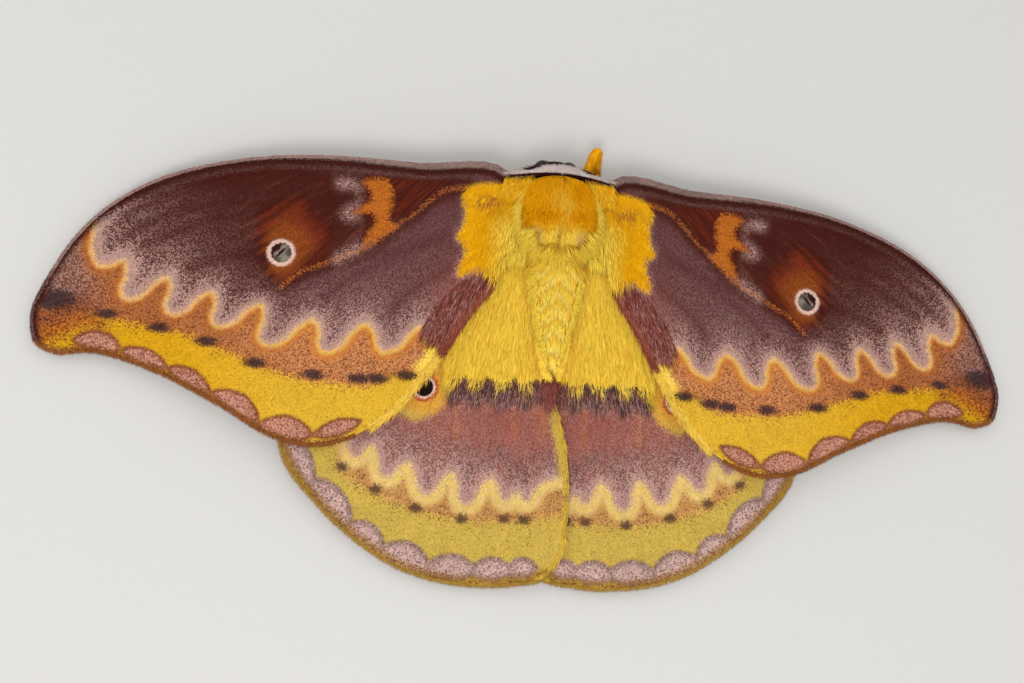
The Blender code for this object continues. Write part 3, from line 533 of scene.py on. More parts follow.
class Finish:
    """A material while its nodes are being made."""

    def __init__(self, name, **constants):
        self.material = bpy.data.materials.new(name)
        self.material.use_nodes = True
        self.tree = self.material.node_tree
        self.shader = self.tree.nodes["Principled BSDF"]
        for socket, value in constants.items():
            self.shader.inputs[socket.replace("_", " ")].default_value = value

    def node(self, kind, settings=(), values=()):
        """Add a node, set its settings and then give its inputs values or links."""
        made = self.tree.nodes.new(kind)
        for name, value in dict(settings).items():
            setattr(made, name, value)
        for name, value in dict(values).items():
            self.feed(made.inputs[name], value)
        return made

    def feed(self, socket, value):
        """Link a socket to an amount or another socket, or give it a plain value."""
        if isinstance(value, Amount):
            value = value.socket
        if isinstance(value, bpy.types.NodeSocket):
            self.tree.links.new(value, socket)
        elif hasattr(value, "__len__") and len(value) == 3 and socket.type == "RGBA":
            socket.default_value = (*value, 1.0)
        else:
            socket.default_value = value

    def value(self, name):
        """A number stored on the mesh."""
        node = self.node("ShaderNodeAttribute", {"attribute_name": name})
        return Amount(self, node.outputs["Fac"])

    def dye(self, name):
        """A colour stored on the mesh."""
        return self.node("ShaderNodeAttribute", {"attribute_name": name}).outputs["Color"]

    def mix(self, first, second, share):
        """Blend two colours."""
        values = {0: share, 6: first, 7: second}
        return self.node("ShaderNodeMix", {"data_type": "RGBA"}, values).outputs[2]

    def tone(self, colour, strength):
        """Make a colour lighter or darker."""
        node = self.node("ShaderNodeVectorMath", {"operation": "SCALE"}, {0: colour})
        self.feed(node.inputs["Scale"], strength)
        return node.outputs[0]

    def rise(self, low, high, amount):
        """Rise softly from 0 to 1 between low and high."""
        settings = {"interpolation_type": "SMOOTHSTEP"}
        values = {"Value": amount, "From Min": low, "From Max": high}
        return Amount(self, self.node("ShaderNodeMapRange", settings, values).outputs[0])

    def vector(self, x, y, z=0.0):
        """Three amounts as one vector."""
        return self.node("ShaderNodeCombineXYZ", (), {0: x, 1: y, 2: z}).outputs[0]

    def noise(self, vector, scale, detail=2.0):
        """Soft random variation from 0 to 1."""
        values = {"Vector": vector, "Scale": scale, "Detail": detail}
        return Amount(self, self.node("ShaderNodeTexNoise", (), values).outputs[0])

    def cells(self, vector, scale):
        """Scale-shaped cells: two random numbers for each and the distance to its middle."""
        values = {"Vector": vector, "Scale": scale}
        node = self.node("ShaderNodeTexVoronoi", {"voronoi_dimensions": "2D"}, values)
        parts = self.node("ShaderNodeSeparateColor", (), {0: node.outputs["Color"]})
        return (Amount(self, parts.outputs[0]), Amount(self, parts.outputs[1]),
                Amount(self, node.outputs["Distance"]))

    def bump(self, height, distance, strength=1.0):
        """Raise the surface by a height from 0 to 1 over a distance in millimetres."""
        values = {"Height": height, "Distance": distance * MM, "Strength": strength}
        self.feed(self.shader.inputs["Normal"], self.node("ShaderNodeBump", (), values).outputs[0])

    def colour(self, value):
        """Set the base colour and return the finished material."""
        self.feed(self.shader.inputs["Base Color"], value)
        return self.material


def colour_choice(name, red, green, blue):
    """A colour that a user may change."""
    return bpy.props.FloatVectorProperty(
        name=name, description=f"Colour of the {name.lower()}", subtype="COLOR", size=3,
        min=0.0, max=1.0, default=tint(red, green, blue),
    )


def length_choice(name, description, default):
    """A length in millimetres that a user may change."""
    return bpy.props.FloatProperty(name=name, description=description, default=default, min=0.01)


def count_choice(name, description, default):
    """A number of pieces that a user may change."""
    return bpy.props.IntProperty(name=name, description=description, default=default, min=0)


class MothColours(bpy.types.PropertyGroup):
    """The colours of scales and fur."""

    maroon: colour_choice("Dark ground of the wing field", 70, 27, 21)
    lilac: colour_choice("Pale specks of the wing field", 188, 148, 138)
    dusk: colour_choice("Purple ground nearer the body", 86, 46, 48)
    rosy: colour_choice("Rosy flush", 138, 68, 58)
    mauve: colour_choice("Hindwing field", 144, 79, 67)
    frost: colour_choice("Bloom before the scalloped line", 172, 134, 122)
    cream: colour_choice("Pale edge of the scalloped line", 216, 174, 142)
    line: colour_choice("Forewing scalloped line", 228, 172, 90)
    straw: colour_choice("Hindwing scalloped line", 224, 190, 100)
    amber: colour_choice("Orange behind the scalloped line", 206, 126, 56)
    salmon: colour_choice("Ground between line and band", 212, 140, 88)
    sienna: colour_choice("Ground between line and band of the hindwing", 196, 144, 84)
    brown: colour_choice("Dark specks behind the scalloped line", 108, 54, 32)
    rust: colour_choice("Outer half of that ground", 164, 92, 50)
    yellow: colour_choice("Forewing band near the body", 221, 174, 50)
    gold: colour_choice("Forewing band near the tip", 214, 158, 24)
    lemon: colour_choice("Hindwing band", 200, 168, 76)
    lunule: colour_choice("Middle of the pink crescents", 200, 144, 122)
    petal: colour_choice("Middle of the hindwing's crescents", 206, 168, 158)
    lunule_rim: colour_choice("Rim of the pink crescents", 132, 68, 50)
    fringe: colour_choice("Scales along the outer edge", 146, 94, 48)
    hem: colour_choice("Scales along the hindwing's edge", 166, 122, 48)
    costal: colour_choice("Pale front edge", 166, 142, 130)
    glow: colour_choice("Ground round the window", 130, 52, 25)
    flame: colour_choice("Orange blotches of the forewing", 198, 114, 36)
    pearl: colour_choice("Rings round the window and eyespot", 222, 188, 176)
    ember: colour_choice("Outer ring of the eyespot", 196, 96, 40)
    halo: colour_choice("Ground round the eyespot", 222, 158, 50)
    dark: colour_choice("Spots and black rings", 42, 26, 26)
    basal: colour_choice("Base of the forewing", 238, 176, 10)
    thorax: colour_choice("Fur of the thorax", 242, 172, 8)
    ochre: colour_choice("Darker patches of the thorax", 222, 146, 6)
    hair: colour_choice("Pale hair beside the body", 248, 214, 78)
    abdomen: colour_choice("Fur of the abdomen", 255, 224, 80)
    valley: colour_choice("Fur beside the abdomen", 216, 160, 48)
    pink: colour_choice("Pink marks behind the thorax", 206, 150, 100)
    lobe: colour_choice("Palest fur of the body", 254, 230, 124)
    collar: colour_choice("White collar", 222, 208, 202)
    # The head's near-black is partly its own dark fur and partly painted shadow in front of the
    # collar. Claws, palp tips and eyes also use it.
    head: colour_choice("Head", 50, 30, 25)
    smoke: colour_choice("Dark hair ends of the hindwing", 84, 62, 66)
    leg: colour_choice("Feet", 222, 158, 34)
    comb: colour_choice("Feelers", 204, 146, 54)


class MothSizes(bpy.types.PropertyGroup):
    """Sizes of scales and fur in millimetres, and how many there are."""

    skin_grid: length_choice("Skin grid", "Spacing of points on a wing's skin", 0.42)
    wing_half_thickness: length_choice("Half thickness", "From the wing's middle to its skin", 0.13)
    forewing_scales: count_choice("Forewing scales", "Raised scales on one forewing", 27000)
    hindwing_scales: count_choice("Hindwing scales", "Raised scales on one hindwing", 21000)
    scale_length: length_choice("Scale length", "Length of a wing scale", 0.3)
    scale_half_width: length_choice("Scale half width", "Half the width of a wing scale", 0.045)


class StageSettings(bpy.types.PropertyGroup):
    """Floor, light and camera."""

    floor: colour_choice("Floor", 214, 212, 208)
    key_power: bpy.props.FloatProperty(
        name="Key light", description="Power of the large soft lamp by the camera",
        default=1.0, min=0.0, unit="POWER")
    rim_power: bpy.props.FloatProperty(
        name="Side light", description="Power of the weaker lamp from the left",
        default=0.22, min=0.0, unit="POWER")
    sky: bpy.props.FloatProperty(
        name="Room light", description="Strength of the even light from all round",
        default=0.78, min=0.0)


def colours():
    """The colours that the user chose."""
    return bpy.context.scene.moth_colours


def sizes():
    """The sizes and numbers that the user chose."""
    return bpy.context.scene.moth_sizes


def random_numbers(seed):
    """A seeded source of random numbers, the same at each run."""
    return np.random.default_rng(seed)


def make_mesh(name, points, triangles, material, values=(), flat_pattern=None):
    """A shown piece from points in millimetres and triangles, riding on the body."""
    mesh = bpy.data.meshes.new(name)
    mesh.vertices.add(len(points))
    mesh.vertices.foreach_set("co", to_frame(points).astype(np.float32).ravel())
    mesh.loops.add(triangles.size)
    mesh.loops.foreach_set("vertex_index", triangles.astype(np.int32).ravel())
    mesh.polygons.add(len(triangles))
    mesh.polygons.foreach_set("loop_start", np.arange(0, triangles.size, 3, dtype=np.int32))
    mesh.polygons.foreach_set("use_smooth", np.ones(len(triangles), bool))
    for label, numbers in dict(values).items():
        wide = np.ndim(numbers) == 2
        kind, slot = ("FLOAT_COLOR", "color") if wide else ("FLOAT", "value")
        layer = mesh.attributes.new(label, kind, "POINT")
        numbers = np.c_[numbers, np.ones(len(points))] if wide else numbers
        layer.data.foreach_set(slot, np.asarray(numbers, np.float32).ravel())
    if flat_pattern is not None:
        layer = mesh.uv_layers.new(name="OFBake")
        layer.data.foreach_set("uv", flat_pattern[triangles.ravel()].astype(np.float32).ravel())
    mesh.update(calc_edges=True)
    mesh.validate()
    mesh.materials.append(material)
    piece = add_object(name, mesh)
    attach(piece, BODY)
    return piece


def columns(*parts):
    """Numbers and rows of numbers side by side, as the columns of one array."""
    return np.stack(np.broadcast_arrays(*parts), -1)


def mesh_grid(first, second):
    """Every pairing of two rows of numbers, as two long rows."""
    return [a.ravel() for a in np.meshgrid(first, second, indexing="ij")]


def along_tuft(stations, place):
    """Tuft paths from a function that gives all their places at a share and a height there."""
    return np.stack([place(t, np.sin(FUR_ARCH * t)) for t in np.linspace(0.0, 1.0, stations)], 1)


def tuft_triangles(stations):
    """The faces of one tapering tuft with three-sided rings and a pointed tip."""
    faces, tip = [(0, 1, 2)], 3 * (stations - 1)
    for ring in range(stations - 1):
        for k in range(3):
            a, b = 3 * ring + k, 3 * ring + (k + 1) % 3
            if ring < stations - 2:
                faces += [(a, a + 3, b + 3), (a, b + 3, b)]
            else:
                faces.append((a, tip, b))
    return np.array(faces)


# The size of one tuft on the flat pattern, and how tufts arch up and down again.
TUFT_PATCH = 0.003
FUR_ARCH = 2.25
UP = np.array([(0.0, 0.0, 1.0)])


def coat(name, paths, up, half_widths, material, values, pattern, fullness=(0.55, 1.0, 0.7),
         plump=0.7):
    """Many tapering tufts as one mesh. paths holds each tuft's line from root to tip in
    millimetres, up the way out of the skin and pattern the root's place on the flat pattern."""
    count, stations, _ = paths.shape
    along = unit(np.gradient(paths, axis=1))[:, :-1]
    across = unit(np.cross(along, up[:, None]))
    out = np.cross(across, along)
    full = np.interp(np.linspace(0, 1, stations)[:-1], np.linspace(0, 1, len(fullness)), fullness)
    width = half_widths[:, None, None] * full[None, :, None]
    middle = paths[:, :-1]
    rings = np.stack([middle - across * width, middle + across * width,
                      middle + out * width * plump], 2)
    points = np.concatenate([rings.reshape(count, -1, 3), paths[:, -1:]], 1)
    each = points.shape[1]
    triangles = tuft_triangles(stations)[None] + (np.arange(count) * each)[:, None, None]
    level = np.repeat(np.arange(stations - 1) / (stations - 1), 3)
    shares = np.r_[level, 1.0]
    sideways = np.r_[np.tile([-0.5, 0.5, 0.0], stations - 1), 0.0]
    spot = np.stack([sideways, shares + np.r_[np.tile([0, 0, 0.12], stations - 1), 0]], 1)
    flat = pattern[:, None] + (spot - (0.0, 0.5))[None] * TUFT_PATCH
    every = {k: np.repeat(v, each, axis=0) for k, v in values.items()}
    every["share"] = np.tile(shares, count)
    every["loose"] = np.ones(count * each)
    return make_mesh(name, points.reshape(-1, 3), triangles.reshape(-1, 3), material, every,
                     np.clip(flat.reshape(-1, 2), 0.0, 1.0))


# The least share of specks in the wing field.
FIELD_SPECKS = 0.45


def wing_material(kind):
    """Wing scales: in every zone a ground colour, and specks of another among them."""
    name = kind + "_scale_finish"
    if name in bpy.data.materials:
        return bpy.data.materials[name]
    dyes, fore = colours(), kind == "forewing"
    look = Finish(name, Roughness=0.8, Specular_IOR_Level=0.03)
    mark = {key: look.value(key) for key in (
        "zigzag", "band", "outer", "lunule", "spot", "field", "bloom", "warm", "ring", "basal",
        "rosy", "along", "over", "loose", "draw", "under")}
    if fore:
        mark.update({key: look.value(key) for key in (
            "costal", "inner", "flare", "tip", "outward", "dusk")})
    grain = look.vector(mark["over"] * 9.0, mark["along"] * 6.5)
    first, second, middle = look.cells(grain, 1.0)
    draw = first + mark["loose"] * (mark["draw"] - first)
    streaks = look.noise(look.vector(mark["over"] * 1.3, mark["along"] * 0.2), 1.0, 3.0)
    cloud = look.noise(look.vector(mark["over"], mark["along"]), 0.2, 3.0)
    fray = second - 0.5
    if fore:
        state = {"ground": tuple(dyes.maroon), "speck": tuple(dyes.lilac), "share": mark["bloom"]}
    else:
        state = {"ground": tuple(dyes.lemon), "speck": tuple(dyes.sienna), "share": 0.06}

    def lay(mask, ground=None, speck=None, share=None):
        """Lay a zone over those before it."""
        if ground is not None:
            state["ground"] = look.mix(state["ground"], tuple(ground), mask)
        if speck is not None:
            state["speck"] = look.mix(state["speck"], tuple(speck), mask)
        if share is not None:
            state["share"] = state["share"] + mask * (share - state["share"])

    def zone(distance, soft=0.12, ragged=0.5):
        """A zone with an edge of single scales."""
        return look.rise(-soft, soft, distance + fray * ragged)

    if fore:
        out = mark["outward"]
        lay(mark["dusk"], dyes.dusk)
        glow = look.rise(0.1, 1.2, mark["warm"] + (streaks - 0.5) * 1.5)
        off_window = look.rise(1.6, 2.6, mark["ring"])
        lay(look.rise(0.02, 0.35, mark["warm"]) * off_window, None, dyes.maroon)
        lay(glow * off_window, dyes.glow, dyes.maroon, 0.3)
        near_window = look.rise(6.0, 2.4, mark["ring"] + (streaks - 0.5) * 5.0)
        lay(glow * near_window * 0.35, dyes.flame)
        lay(mark["rosy"] * 0.7, dyes.rosy)
        lay(zone(mark["flare"], 0.3, 0.9), dyes.flame, dyes.glow, 0.3)
        lay(zone(mark["basal"], 0.3, 1.0), dyes.basal, dyes.flame, 0.12)
    else:
        field = zone(mark["field"], 0.3, 1.0)
        lay(field, dyes.mauve, dyes.lilac, mark["bloom"])
        lay(field * look.rise(0.42, 0.7, streaks) * 0.4, dyes.glow)
        lay(mark["rosy"] * zone(mark["field"], 0.2, 0.8), dyes.rosy)
        lay(look.rise(0.3, 1.1, mark["warm"] + (streaks - 0.5) * 1.2) * 0.4, dyes.flame)
        lay(look.rise(4.4, 3.0, mark["ring"] + fray) * 0.9, dyes.halo, dyes.sienna, 0.2)
        lay(zone(mark["basal"], 0.2, 0.8), dyes.basal, dyes.yellow, 0.3)
    near = mark["zigzag"] + fray * 0.45
    inner_side = zone(mark["field"] + 0.2, 0.3, 0.4)
    if fore:
        lay(look.rise(-1.25, -0.45, near) * inner_side * 0.9, dyes.cream, dyes.frost, 0.35)
        lay(look.rise(-0.45, -0.1, near), dyes.line, dyes.cream, 0.15)
        lay(look.rise(-0.25, 0.1, near) * (1.0 - out) * 0.6, dyes.yellow)
        lay(look.rise(0.05, 0.5, near), dyes.amber, dyes.rust, 0.2)
        lay(look.rise(0.5, 1.5, near), dyes.salmon, dyes.brown, 0.36)
        lay(look.rise(-0.2, 0.9, near) * out * 0.72, dyes.rust, dyes.brown, 0.3)
        lay(mark["tip"] * look.rise(0.6, 2.0, near), dyes.frost, dyes.brown, 0.58)
        rear = zone(1.9 - mark["inner"], 0.4, 1.2) * look.rise(-0.5, 1.0, near)
        lay(rear, dyes.hair, dyes.line, 0.2)
    else:
        dim = look.rise(-6.0, -3.2, near) * (look.rise(0.4, 0.62, streaks) * 0.5 + 0.2)
        lay(dim * inner_side, dyes.smoke, dyes.lilac)
        lay(look.rise(-1.0, -0.35, near) * inner_side * 0.9, dyes.cream, dyes.frost, 0.3)
        lay(look.rise(-0.4, 0.2, near), dyes.straw, dyes.cream, 0.2)
        lay(look.rise(0.8, 1.8, near), dyes.sienna, dyes.brown, 0.22)
    band = mark["band"] + fray * 1.2
    lay(look.rise(-1.6, -0.1, band) * 0.35, dyes.flame if fore else dyes.sienna)
    inner_band = look.rise(-0.35, 0.5, band)
    lay(inner_band, dyes.yellow if fore else dyes.lemon, dyes.brown, 0.03)
    if fore:
        lay(inner_band * out, dyes.gold)
    lay(look.rise(-0.2, 0.3, band) * look.rise(1.6, 0.2, band), None, None, 0.12)
    if fore:
        lay(mark["tip"] * look.rise(-4.2, -2.2, band), dyes.rust, dyes.dark, 0.3)
        lay(mark["tip"] * look.rise(-1.2, 0.6, band), dyes.flame, dyes.brown, 0.45)
        lay(mark["tip"] * look.rise(0.6, 2.6, band), dyes.gold, dyes.brown, 0.3)
    spots = look.rise(0.25, 0.7, mark["spot"] + fray * 0.5)
    lay(spots * (0.94 if fore else 0.78), dyes.dark, dyes.smoke, 0.3)
    lunule = mark["lunule"] + fray * 0.35
    if fore:
        lay(look.rise(-0.3, 0.1, lunule) * 0.9, dyes.lunule_rim, dyes.brown, 0.3)
        lay(look.rise(0.1, 0.6, lunule), dyes.lunule, dyes.lunule_rim, 0.36)
    else:
        lay(look.rise(-0.3, 0.1, lunule) * 0.9, dyes.smoke, dyes.petal, 0.45)
        lay(look.rise(0.1, 0.9, lunule), dyes.petal, dyes.smoke, 0.25)
    edge = mark["outer"] + fray * 0.5
    if fore:
        lay(look.rise(1.15, 0.55, edge), dyes.fringe, dyes.brown, 0.25)
        lay(zone(mark["costal"] + 1.3, 0.6, 0.6), dyes.maroon, dyes.dark, 0.3)
        lay(zone(mark["costal"], 0.25, 0.4), dyes.costal, dyes.dark, 0.2)
        lay(look.rise(2.05, 1.8, mark["ring"] + fray * 0.3), dyes.pearl, dyes.salmon, 0.15)
        lay(zone(WINDOW_RADIUS - mark["ring"], 0.05, 0.3), dyes.dark, dyes.maroon, 0.3)
    else:
        lay(look.rise(1.9, 0.9, edge) * 0.8, dyes.hem, dyes.brown, 0.35)
        lay(look.rise(0.7, 0.2, edge), dyes.lemon, dyes.brown, 0.3)
        lay(look.rise(2.2, 1.9, mark["ring"] + fray * 0.3), dyes.ember, dyes.rust, 0.2)
        lay(zone(1.6 - mark["ring"], 0.08, 0.3), dyes.pearl, dyes.salmon, 0.2)
        lay(zone(1.05 - mark["ring"], 0.08, 0.25), dyes.dark, dyes.dark, 0.2)
    # In the wing field the specks stay close together, and grow paler where there is more bloom.
    soft = look.rise(-0.2, 0.8, mark["field"])
    share = state["share"].maths("MAXIMUM", 0.0)
    close = share + soft * (share.maths("MAXIMUM", FIELD_SPECKS) - share)
    pale = 1.0 + soft * ((share * (1.0 / FIELD_SPECKS)).maths("MINIMUM", 1.0) - 1.0)
    speckled = look.rise(-0.1, 0.1, close - draw)
    mixed = pale * (close + (speckled - close) * 0.75)
    painted = look.mix(state["ground"], state["speck"], mixed)
    painted = look.mix(painted, tuple(dyes.fringe), mark["under"] * 0.6)
    shade = fray * 0.3 + (streaks - 0.5) * 0.3 + (cloud - 0.5) * 0.26 + 0.98
    look.bump(middle * -1.0, 0.04, 0.5)
    return look.colour(look.tone(painted, shade))


# Height of a triangle with sides of one.
TRIANGLE_HEIGHT = 0.87


def wing_skin(wing):
    """The wing's thin double skin, with the distances that its colours are worked out from."""
    grid, low, high = sizes().skin_grid, wing.outline.min(0), wing.outline.max(0)
    inset = wing.outline + 0.3 * unit(outline_inward(wing.outline))
    rim = even(np.vstack([inset, inset[:1]]), grid)[:-1]
    x, y = np.meshgrid(np.arange(low[0], high[0], grid),
                       np.arange(low[1], high[1], grid * TRIANGLE_HEIGHT))
    x = x + 0.5 * grid * (np.arange(len(y)) % 2)[:, None]
    inner = np.c_[x.ravel(), y.ravel()]
    inner = inner[inside(inner, rim)]
    inner = inner[away(inner, np.vstack([rim, rim[:1]])) > 0.45 * grid]
    shake = random_numbers(wing.seed).uniform(-0.02, 0.02, inner.shape)
    points = np.vstack([rim, inner + shake])
    flat, _, faces, *_ = delaunay_2d_cdt(
        [Vector(p) for p in points], [], [list(range(len(rim)))], 1, 1e-6)
    plan, top = np.array(flat), np.array(faces)
    corner = plan[top]
    turned = np.cross(corner[:, 1] - corner[:, 0], corner[:, 2] - corner[:, 0]) * wing.side < 0
    top[turned] = top[turned][:, ::-1]
    marks = MARKS[wing.kind](wing, plan)
    half = sizes().wing_half_thickness
    thin = rise(0.0, 0.7, away(plan, np.vstack([rim, rim[:1]])))
    lift = (wing.relief(plan, marks["vein"]) - SKIN_LIFT) * thin + half * (0.35 + 0.65 * thin)
    upper = wing.place(plan, lift)
    lower = wing.place(plan, lift - half * (0.7 + 1.0 * thin))
    count = len(plan)
    edges = boundary_edges(top)
    wall = np.vstack([np.c_[edges[:, 1], edges[:, 0], edges[:, 0] + count],
                      np.c_[edges[:, 1], edges[:, 0] + count, edges[:, 1] + count]])
    faces = np.vstack([top, top[:, ::-1] + count, wall])
    reach, over, _ = fan(plan)
    values = {**marks, "along": reach, "over": over, "draw": np.zeros(count)}
    values = {key: np.r_[v, v] for key, v in values.items()}
    values["under"] = np.r_[np.zeros(count), np.ones(count)]
    values["loose"] = np.zeros(2 * count)
    pattern = np.vstack([wing.unwrap(plan), wing.unwrap(plan, True)])
    piece = make_mesh(wing.name + "_skin", np.vstack([upper, lower]), faces,
                      wing_material(wing.kind), values, pattern)
    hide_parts(wing.name)


def outline_inward(outline):
    """The way inwards at each point of a closed outline."""
    along = np.roll(outline, -1, 0) - np.roll(outline, 1, 0)
    side = np.c_[-along[:, 1], along[:, 0]]
    x, y = outline.T
    area = (x * np.roll(y, -1) - np.roll(x, -1) * y).sum()
    return side if area > 0 else -side


def boundary_edges(triangles):
    """Edges that only one triangle has, in that triangle's order."""
    edges = np.vstack([triangles[:, [0, 1]], triangles[:, [1, 2]], triangles[:, [2, 0]]])
    keys = np.sort(edges, 1)
    _, place, found = np.unique(keys, axis=0, return_index=True, return_counts=True)
    return edges[place[found == 1]]


def scatter(wing, count, seed, margin):
    """Random plan points spread over a wing, some way in from its edge."""
    draw = random_numbers(seed)
    low, high = wing.outline.min(0), wing.outline.max(0)
    spots = draw.uniform(low, high, (int(count * 2.6), 2))
    spots = spots[inside(spots, wing.outline + margin * unit(outline_inward(wing.outline)))]
    return spots[:count], draw


def wing_scales(wing, count):
    """Raised scales over the whole upper side, lying along the fan."""
    plan, draw = scatter(wing, count, wing.seed + SCALE_SEED, 0.65)
    count = len(plan)
    marks = MARKS[wing.kind](wing, plan)
    reach, over, lie = fan(plan)
    lie = turned(lie, draw.normal(0.0, 0.16, count))
    length = sizes().scale_length * draw.uniform(0.7, 1.25, count)
    lift = wing.relief(plan, marks["vein"])
    ends = wing.place(plan + lie * length[:, None], lift + draw.uniform(0.015, 0.06, count))
    values = {**marks, "along": reach, "over": over, "draw": draw.uniform(0, 1, count),
              "under": np.zeros(count)}
    piece = coat(wing.name + "_scale_coat", np.stack([wing.place(plan, lift - 0.03), ends], 1), UP,
                 np.full(count, sizes().scale_half_width), wing_material(wing.kind), values,
                 wing.unwrap(plan), (1.0, 1.0), 0.35)


def turned(vectors, angles):
    """Plan vectors turned by angles."""
    cos, sin = np.cos(angles), np.sin(angles)
    x, y = vectors[:, 0], vectors[:, 1]
    return np.stack([x * cos - y * sin, x * sin + y * cos], 1)


def varied(row, shares, draw, spread=0.08):
    """Blend a row of colours by shares that run from 0 to 1, with a little random tone."""
    marks = np.linspace(0.0, 1.0, len(row))
    table = np.array([tuple(colour) for colour in row])
    blended = np.stack([np.interp(shares, marks, table[:, k]) for k in range(3)], 1)
    return blended * draw.uniform(1.0 - spread, 1.0 + spread, (len(blended), 1))


def mingled(row, count, draw):
    """A random blend of a row of colours for each of a number of tufts."""
    return varied(row, draw.uniform(0, 1, count), draw)


def toward(dye, colour, share):
    """The dye of each tuft moved towards a colour by a share."""
    return dye + share * (np.array(tuple(colour)) - dye)


def fur_finish(name, roughness=0.7):
    """Fur: every tuft takes the colour kept at its root, with painted shade where it starts and
    painted light at its tip.
    """
    if name in bpy.data.materials:
        return bpy.data.materials[name]
    look = Finish(name, Roughness=roughness, Specular_IOR_Level=0.05)
    loose, share, draw = look.value("loose"), look.value("share"), look.value("draw")
    over, along = look.value("over"), look.value("along")
    streaks = look.noise(look.vector(over * 3.2, along * 0.7), 1.0, 3.0)
    fine = look.noise(look.vector(over * 14.0, along * 1.6), 1.0, 2.0)
    # Painted shade and light along each tuft: darker at the root, deep in the coat, and lighter at
    # the tip. share runs from 0 at the root to 1 at the tip; streaks and draw add random tone.
    shade = (streaks - 0.5) * 0.3 + 1.05 + loose * ((draw - 0.5) * 0.14 + (share - 0.5) * 0.16)
    look.bump(fine, 0.08, 0.4)
    return look.colour(look.tone(look.dye("dye"), shade))


def lay_fur(name, slot, paths, up, half_width, finish, place, dye, pattern, draw):
    """Tufts as one coat. place holds how far along and across the lie of the fur each starts."""
    count = len(paths)
    values = {"along": place[0], "over": place[1], "dye": dye, "draw": draw.uniform(0, 1, count)}
    piece = coat(name, paths, up, half_width * draw.uniform(0.7, 1.2, count), fur_finish(finish),
                 values, pattern)


def wing_fur(wing, label, roots, lengths, loft, dye, half_width, draw, stations=3):
    """Hairs that start at plan points of a wing and lie along its fan."""
    reach, over, lie = fan(roots)
    lie = turned(lie, draw.normal(0.0, 0.1, len(roots)))
    base = wing.relief(roots, wing.vein_distance(roots)) - 0.05
    paths = along_tuft(stations, lambda t, arch: wing.place(
        roots + lie * (lengths * t)[:, None], base + loft * arch))
    lay_fur(f"{wing.name}_{label}", wing.slot, paths, UP, half_width, "wing_hair", (reach, over),
            dye, wing.unwrap(roots), draw)


def swell(along, power):
    """Share of the full size at a place along a rounded lump: 1 at the middle, 0 at the end."""
    return (1.0 - np.clip(np.abs(along), 0.0, 1.0) ** power) ** (1.0 / power)


def abdomen_radius(s):
    """The abdomen's radius at a share of its length from the front."""
    taper = np.clip(1.0 - rise(0.12, 1.08, s), 0.0, 1.0) ** 0.75
    rings = 1.0 - 0.03 * np.cos(2.0 * np.pi * ABDOMEN_SEGMENTS * s)
    return ABDOMEN_RADIUS * (0.80 + 0.20 * rise(0.0, 0.16, s)) * taper * rings


# The body's skin lies this far under its fur. BLEND rounds the joins of its three lumps.
SKIN_DEPTH = 0.3
BLEND = 6.0
BODY_FRONT_Y = 13.6
BODY_TIP_Y = -18.9
TIER_LENGTH = 2.3
TIER_SLOPE = 0.8


def body_section(y):
    """Half width, half height and middle height of the body's skin at places along it."""
    y = np.asarray(y, float)
    thorax = swell((y - THORAX_CENTRE[1]) / THORAX_HALF[1], 2.4)
    s = (ABDOMEN_FRONT - y) / ABDOMEN_LENGTH
    rear = abdomen_radius(np.maximum(s, 0.0)) * swell(np.minimum(s, 0.0) * 3.0, 2.0)
    ahead = y - HEAD_CENTRE[1]
    head = swell(np.where(ahead > 0.0, ahead / HEAD_HALF[1], ahead / 9.0), 2.2)
    widths = (THORAX_HALF[0] * thorax, rear, HEAD_HALF[0] * head)
    heights = (THORAX_HALF[2] * thorax, rear, HEAD_HALF[2] * head)
    middles = (THORAX_CENTRE[2], ABDOMEN_FRONT_Z + (ABDOMEN_TIP_Z - ABDOMEN_FRONT_Z) * s,
               HEAD_CENTRE[2])
    wide = sum(w**BLEND for w in widths) ** (1.0 / BLEND)
    high = sum(h**BLEND for h in heights) ** (1.0 / BLEND)
    weights = [h**BLEND + 1e-9 for h in heights]
    middle = sum(m * w for m, w in zip(middles, weights)) / sum(weights)
    return wide - SKIN_DEPTH, high - SKIN_DEPTH, middle


def on_body(y, turn, lift=0.0):
    """Points over the body's skin. turn is the angle from the top, lift the height off it."""
    wide, high, middle = body_section(y)
    sin, cos = np.sin(turn), np.cos(turn)
    x = np.maximum(wide + lift, 0.02) * np.sign(sin) * np.abs(sin) ** 0.92
    z = middle + np.maximum(high + lift, 0.02) * np.sign(cos) * np.abs(cos) ** 0.92
    return np.stack([x, y + 0.0 * x, z], -1)


def body_pattern(y, turn):
    """Where a place on the body lies on its flat pattern."""
    return np.stack([turn / (2.1 * np.pi) + 0.5, (14.5 - y) / 36.0], -1)


PINK_DABS = [(-3.6, 1.6), (-4.1, 0.1), (3.1, 1.2)]


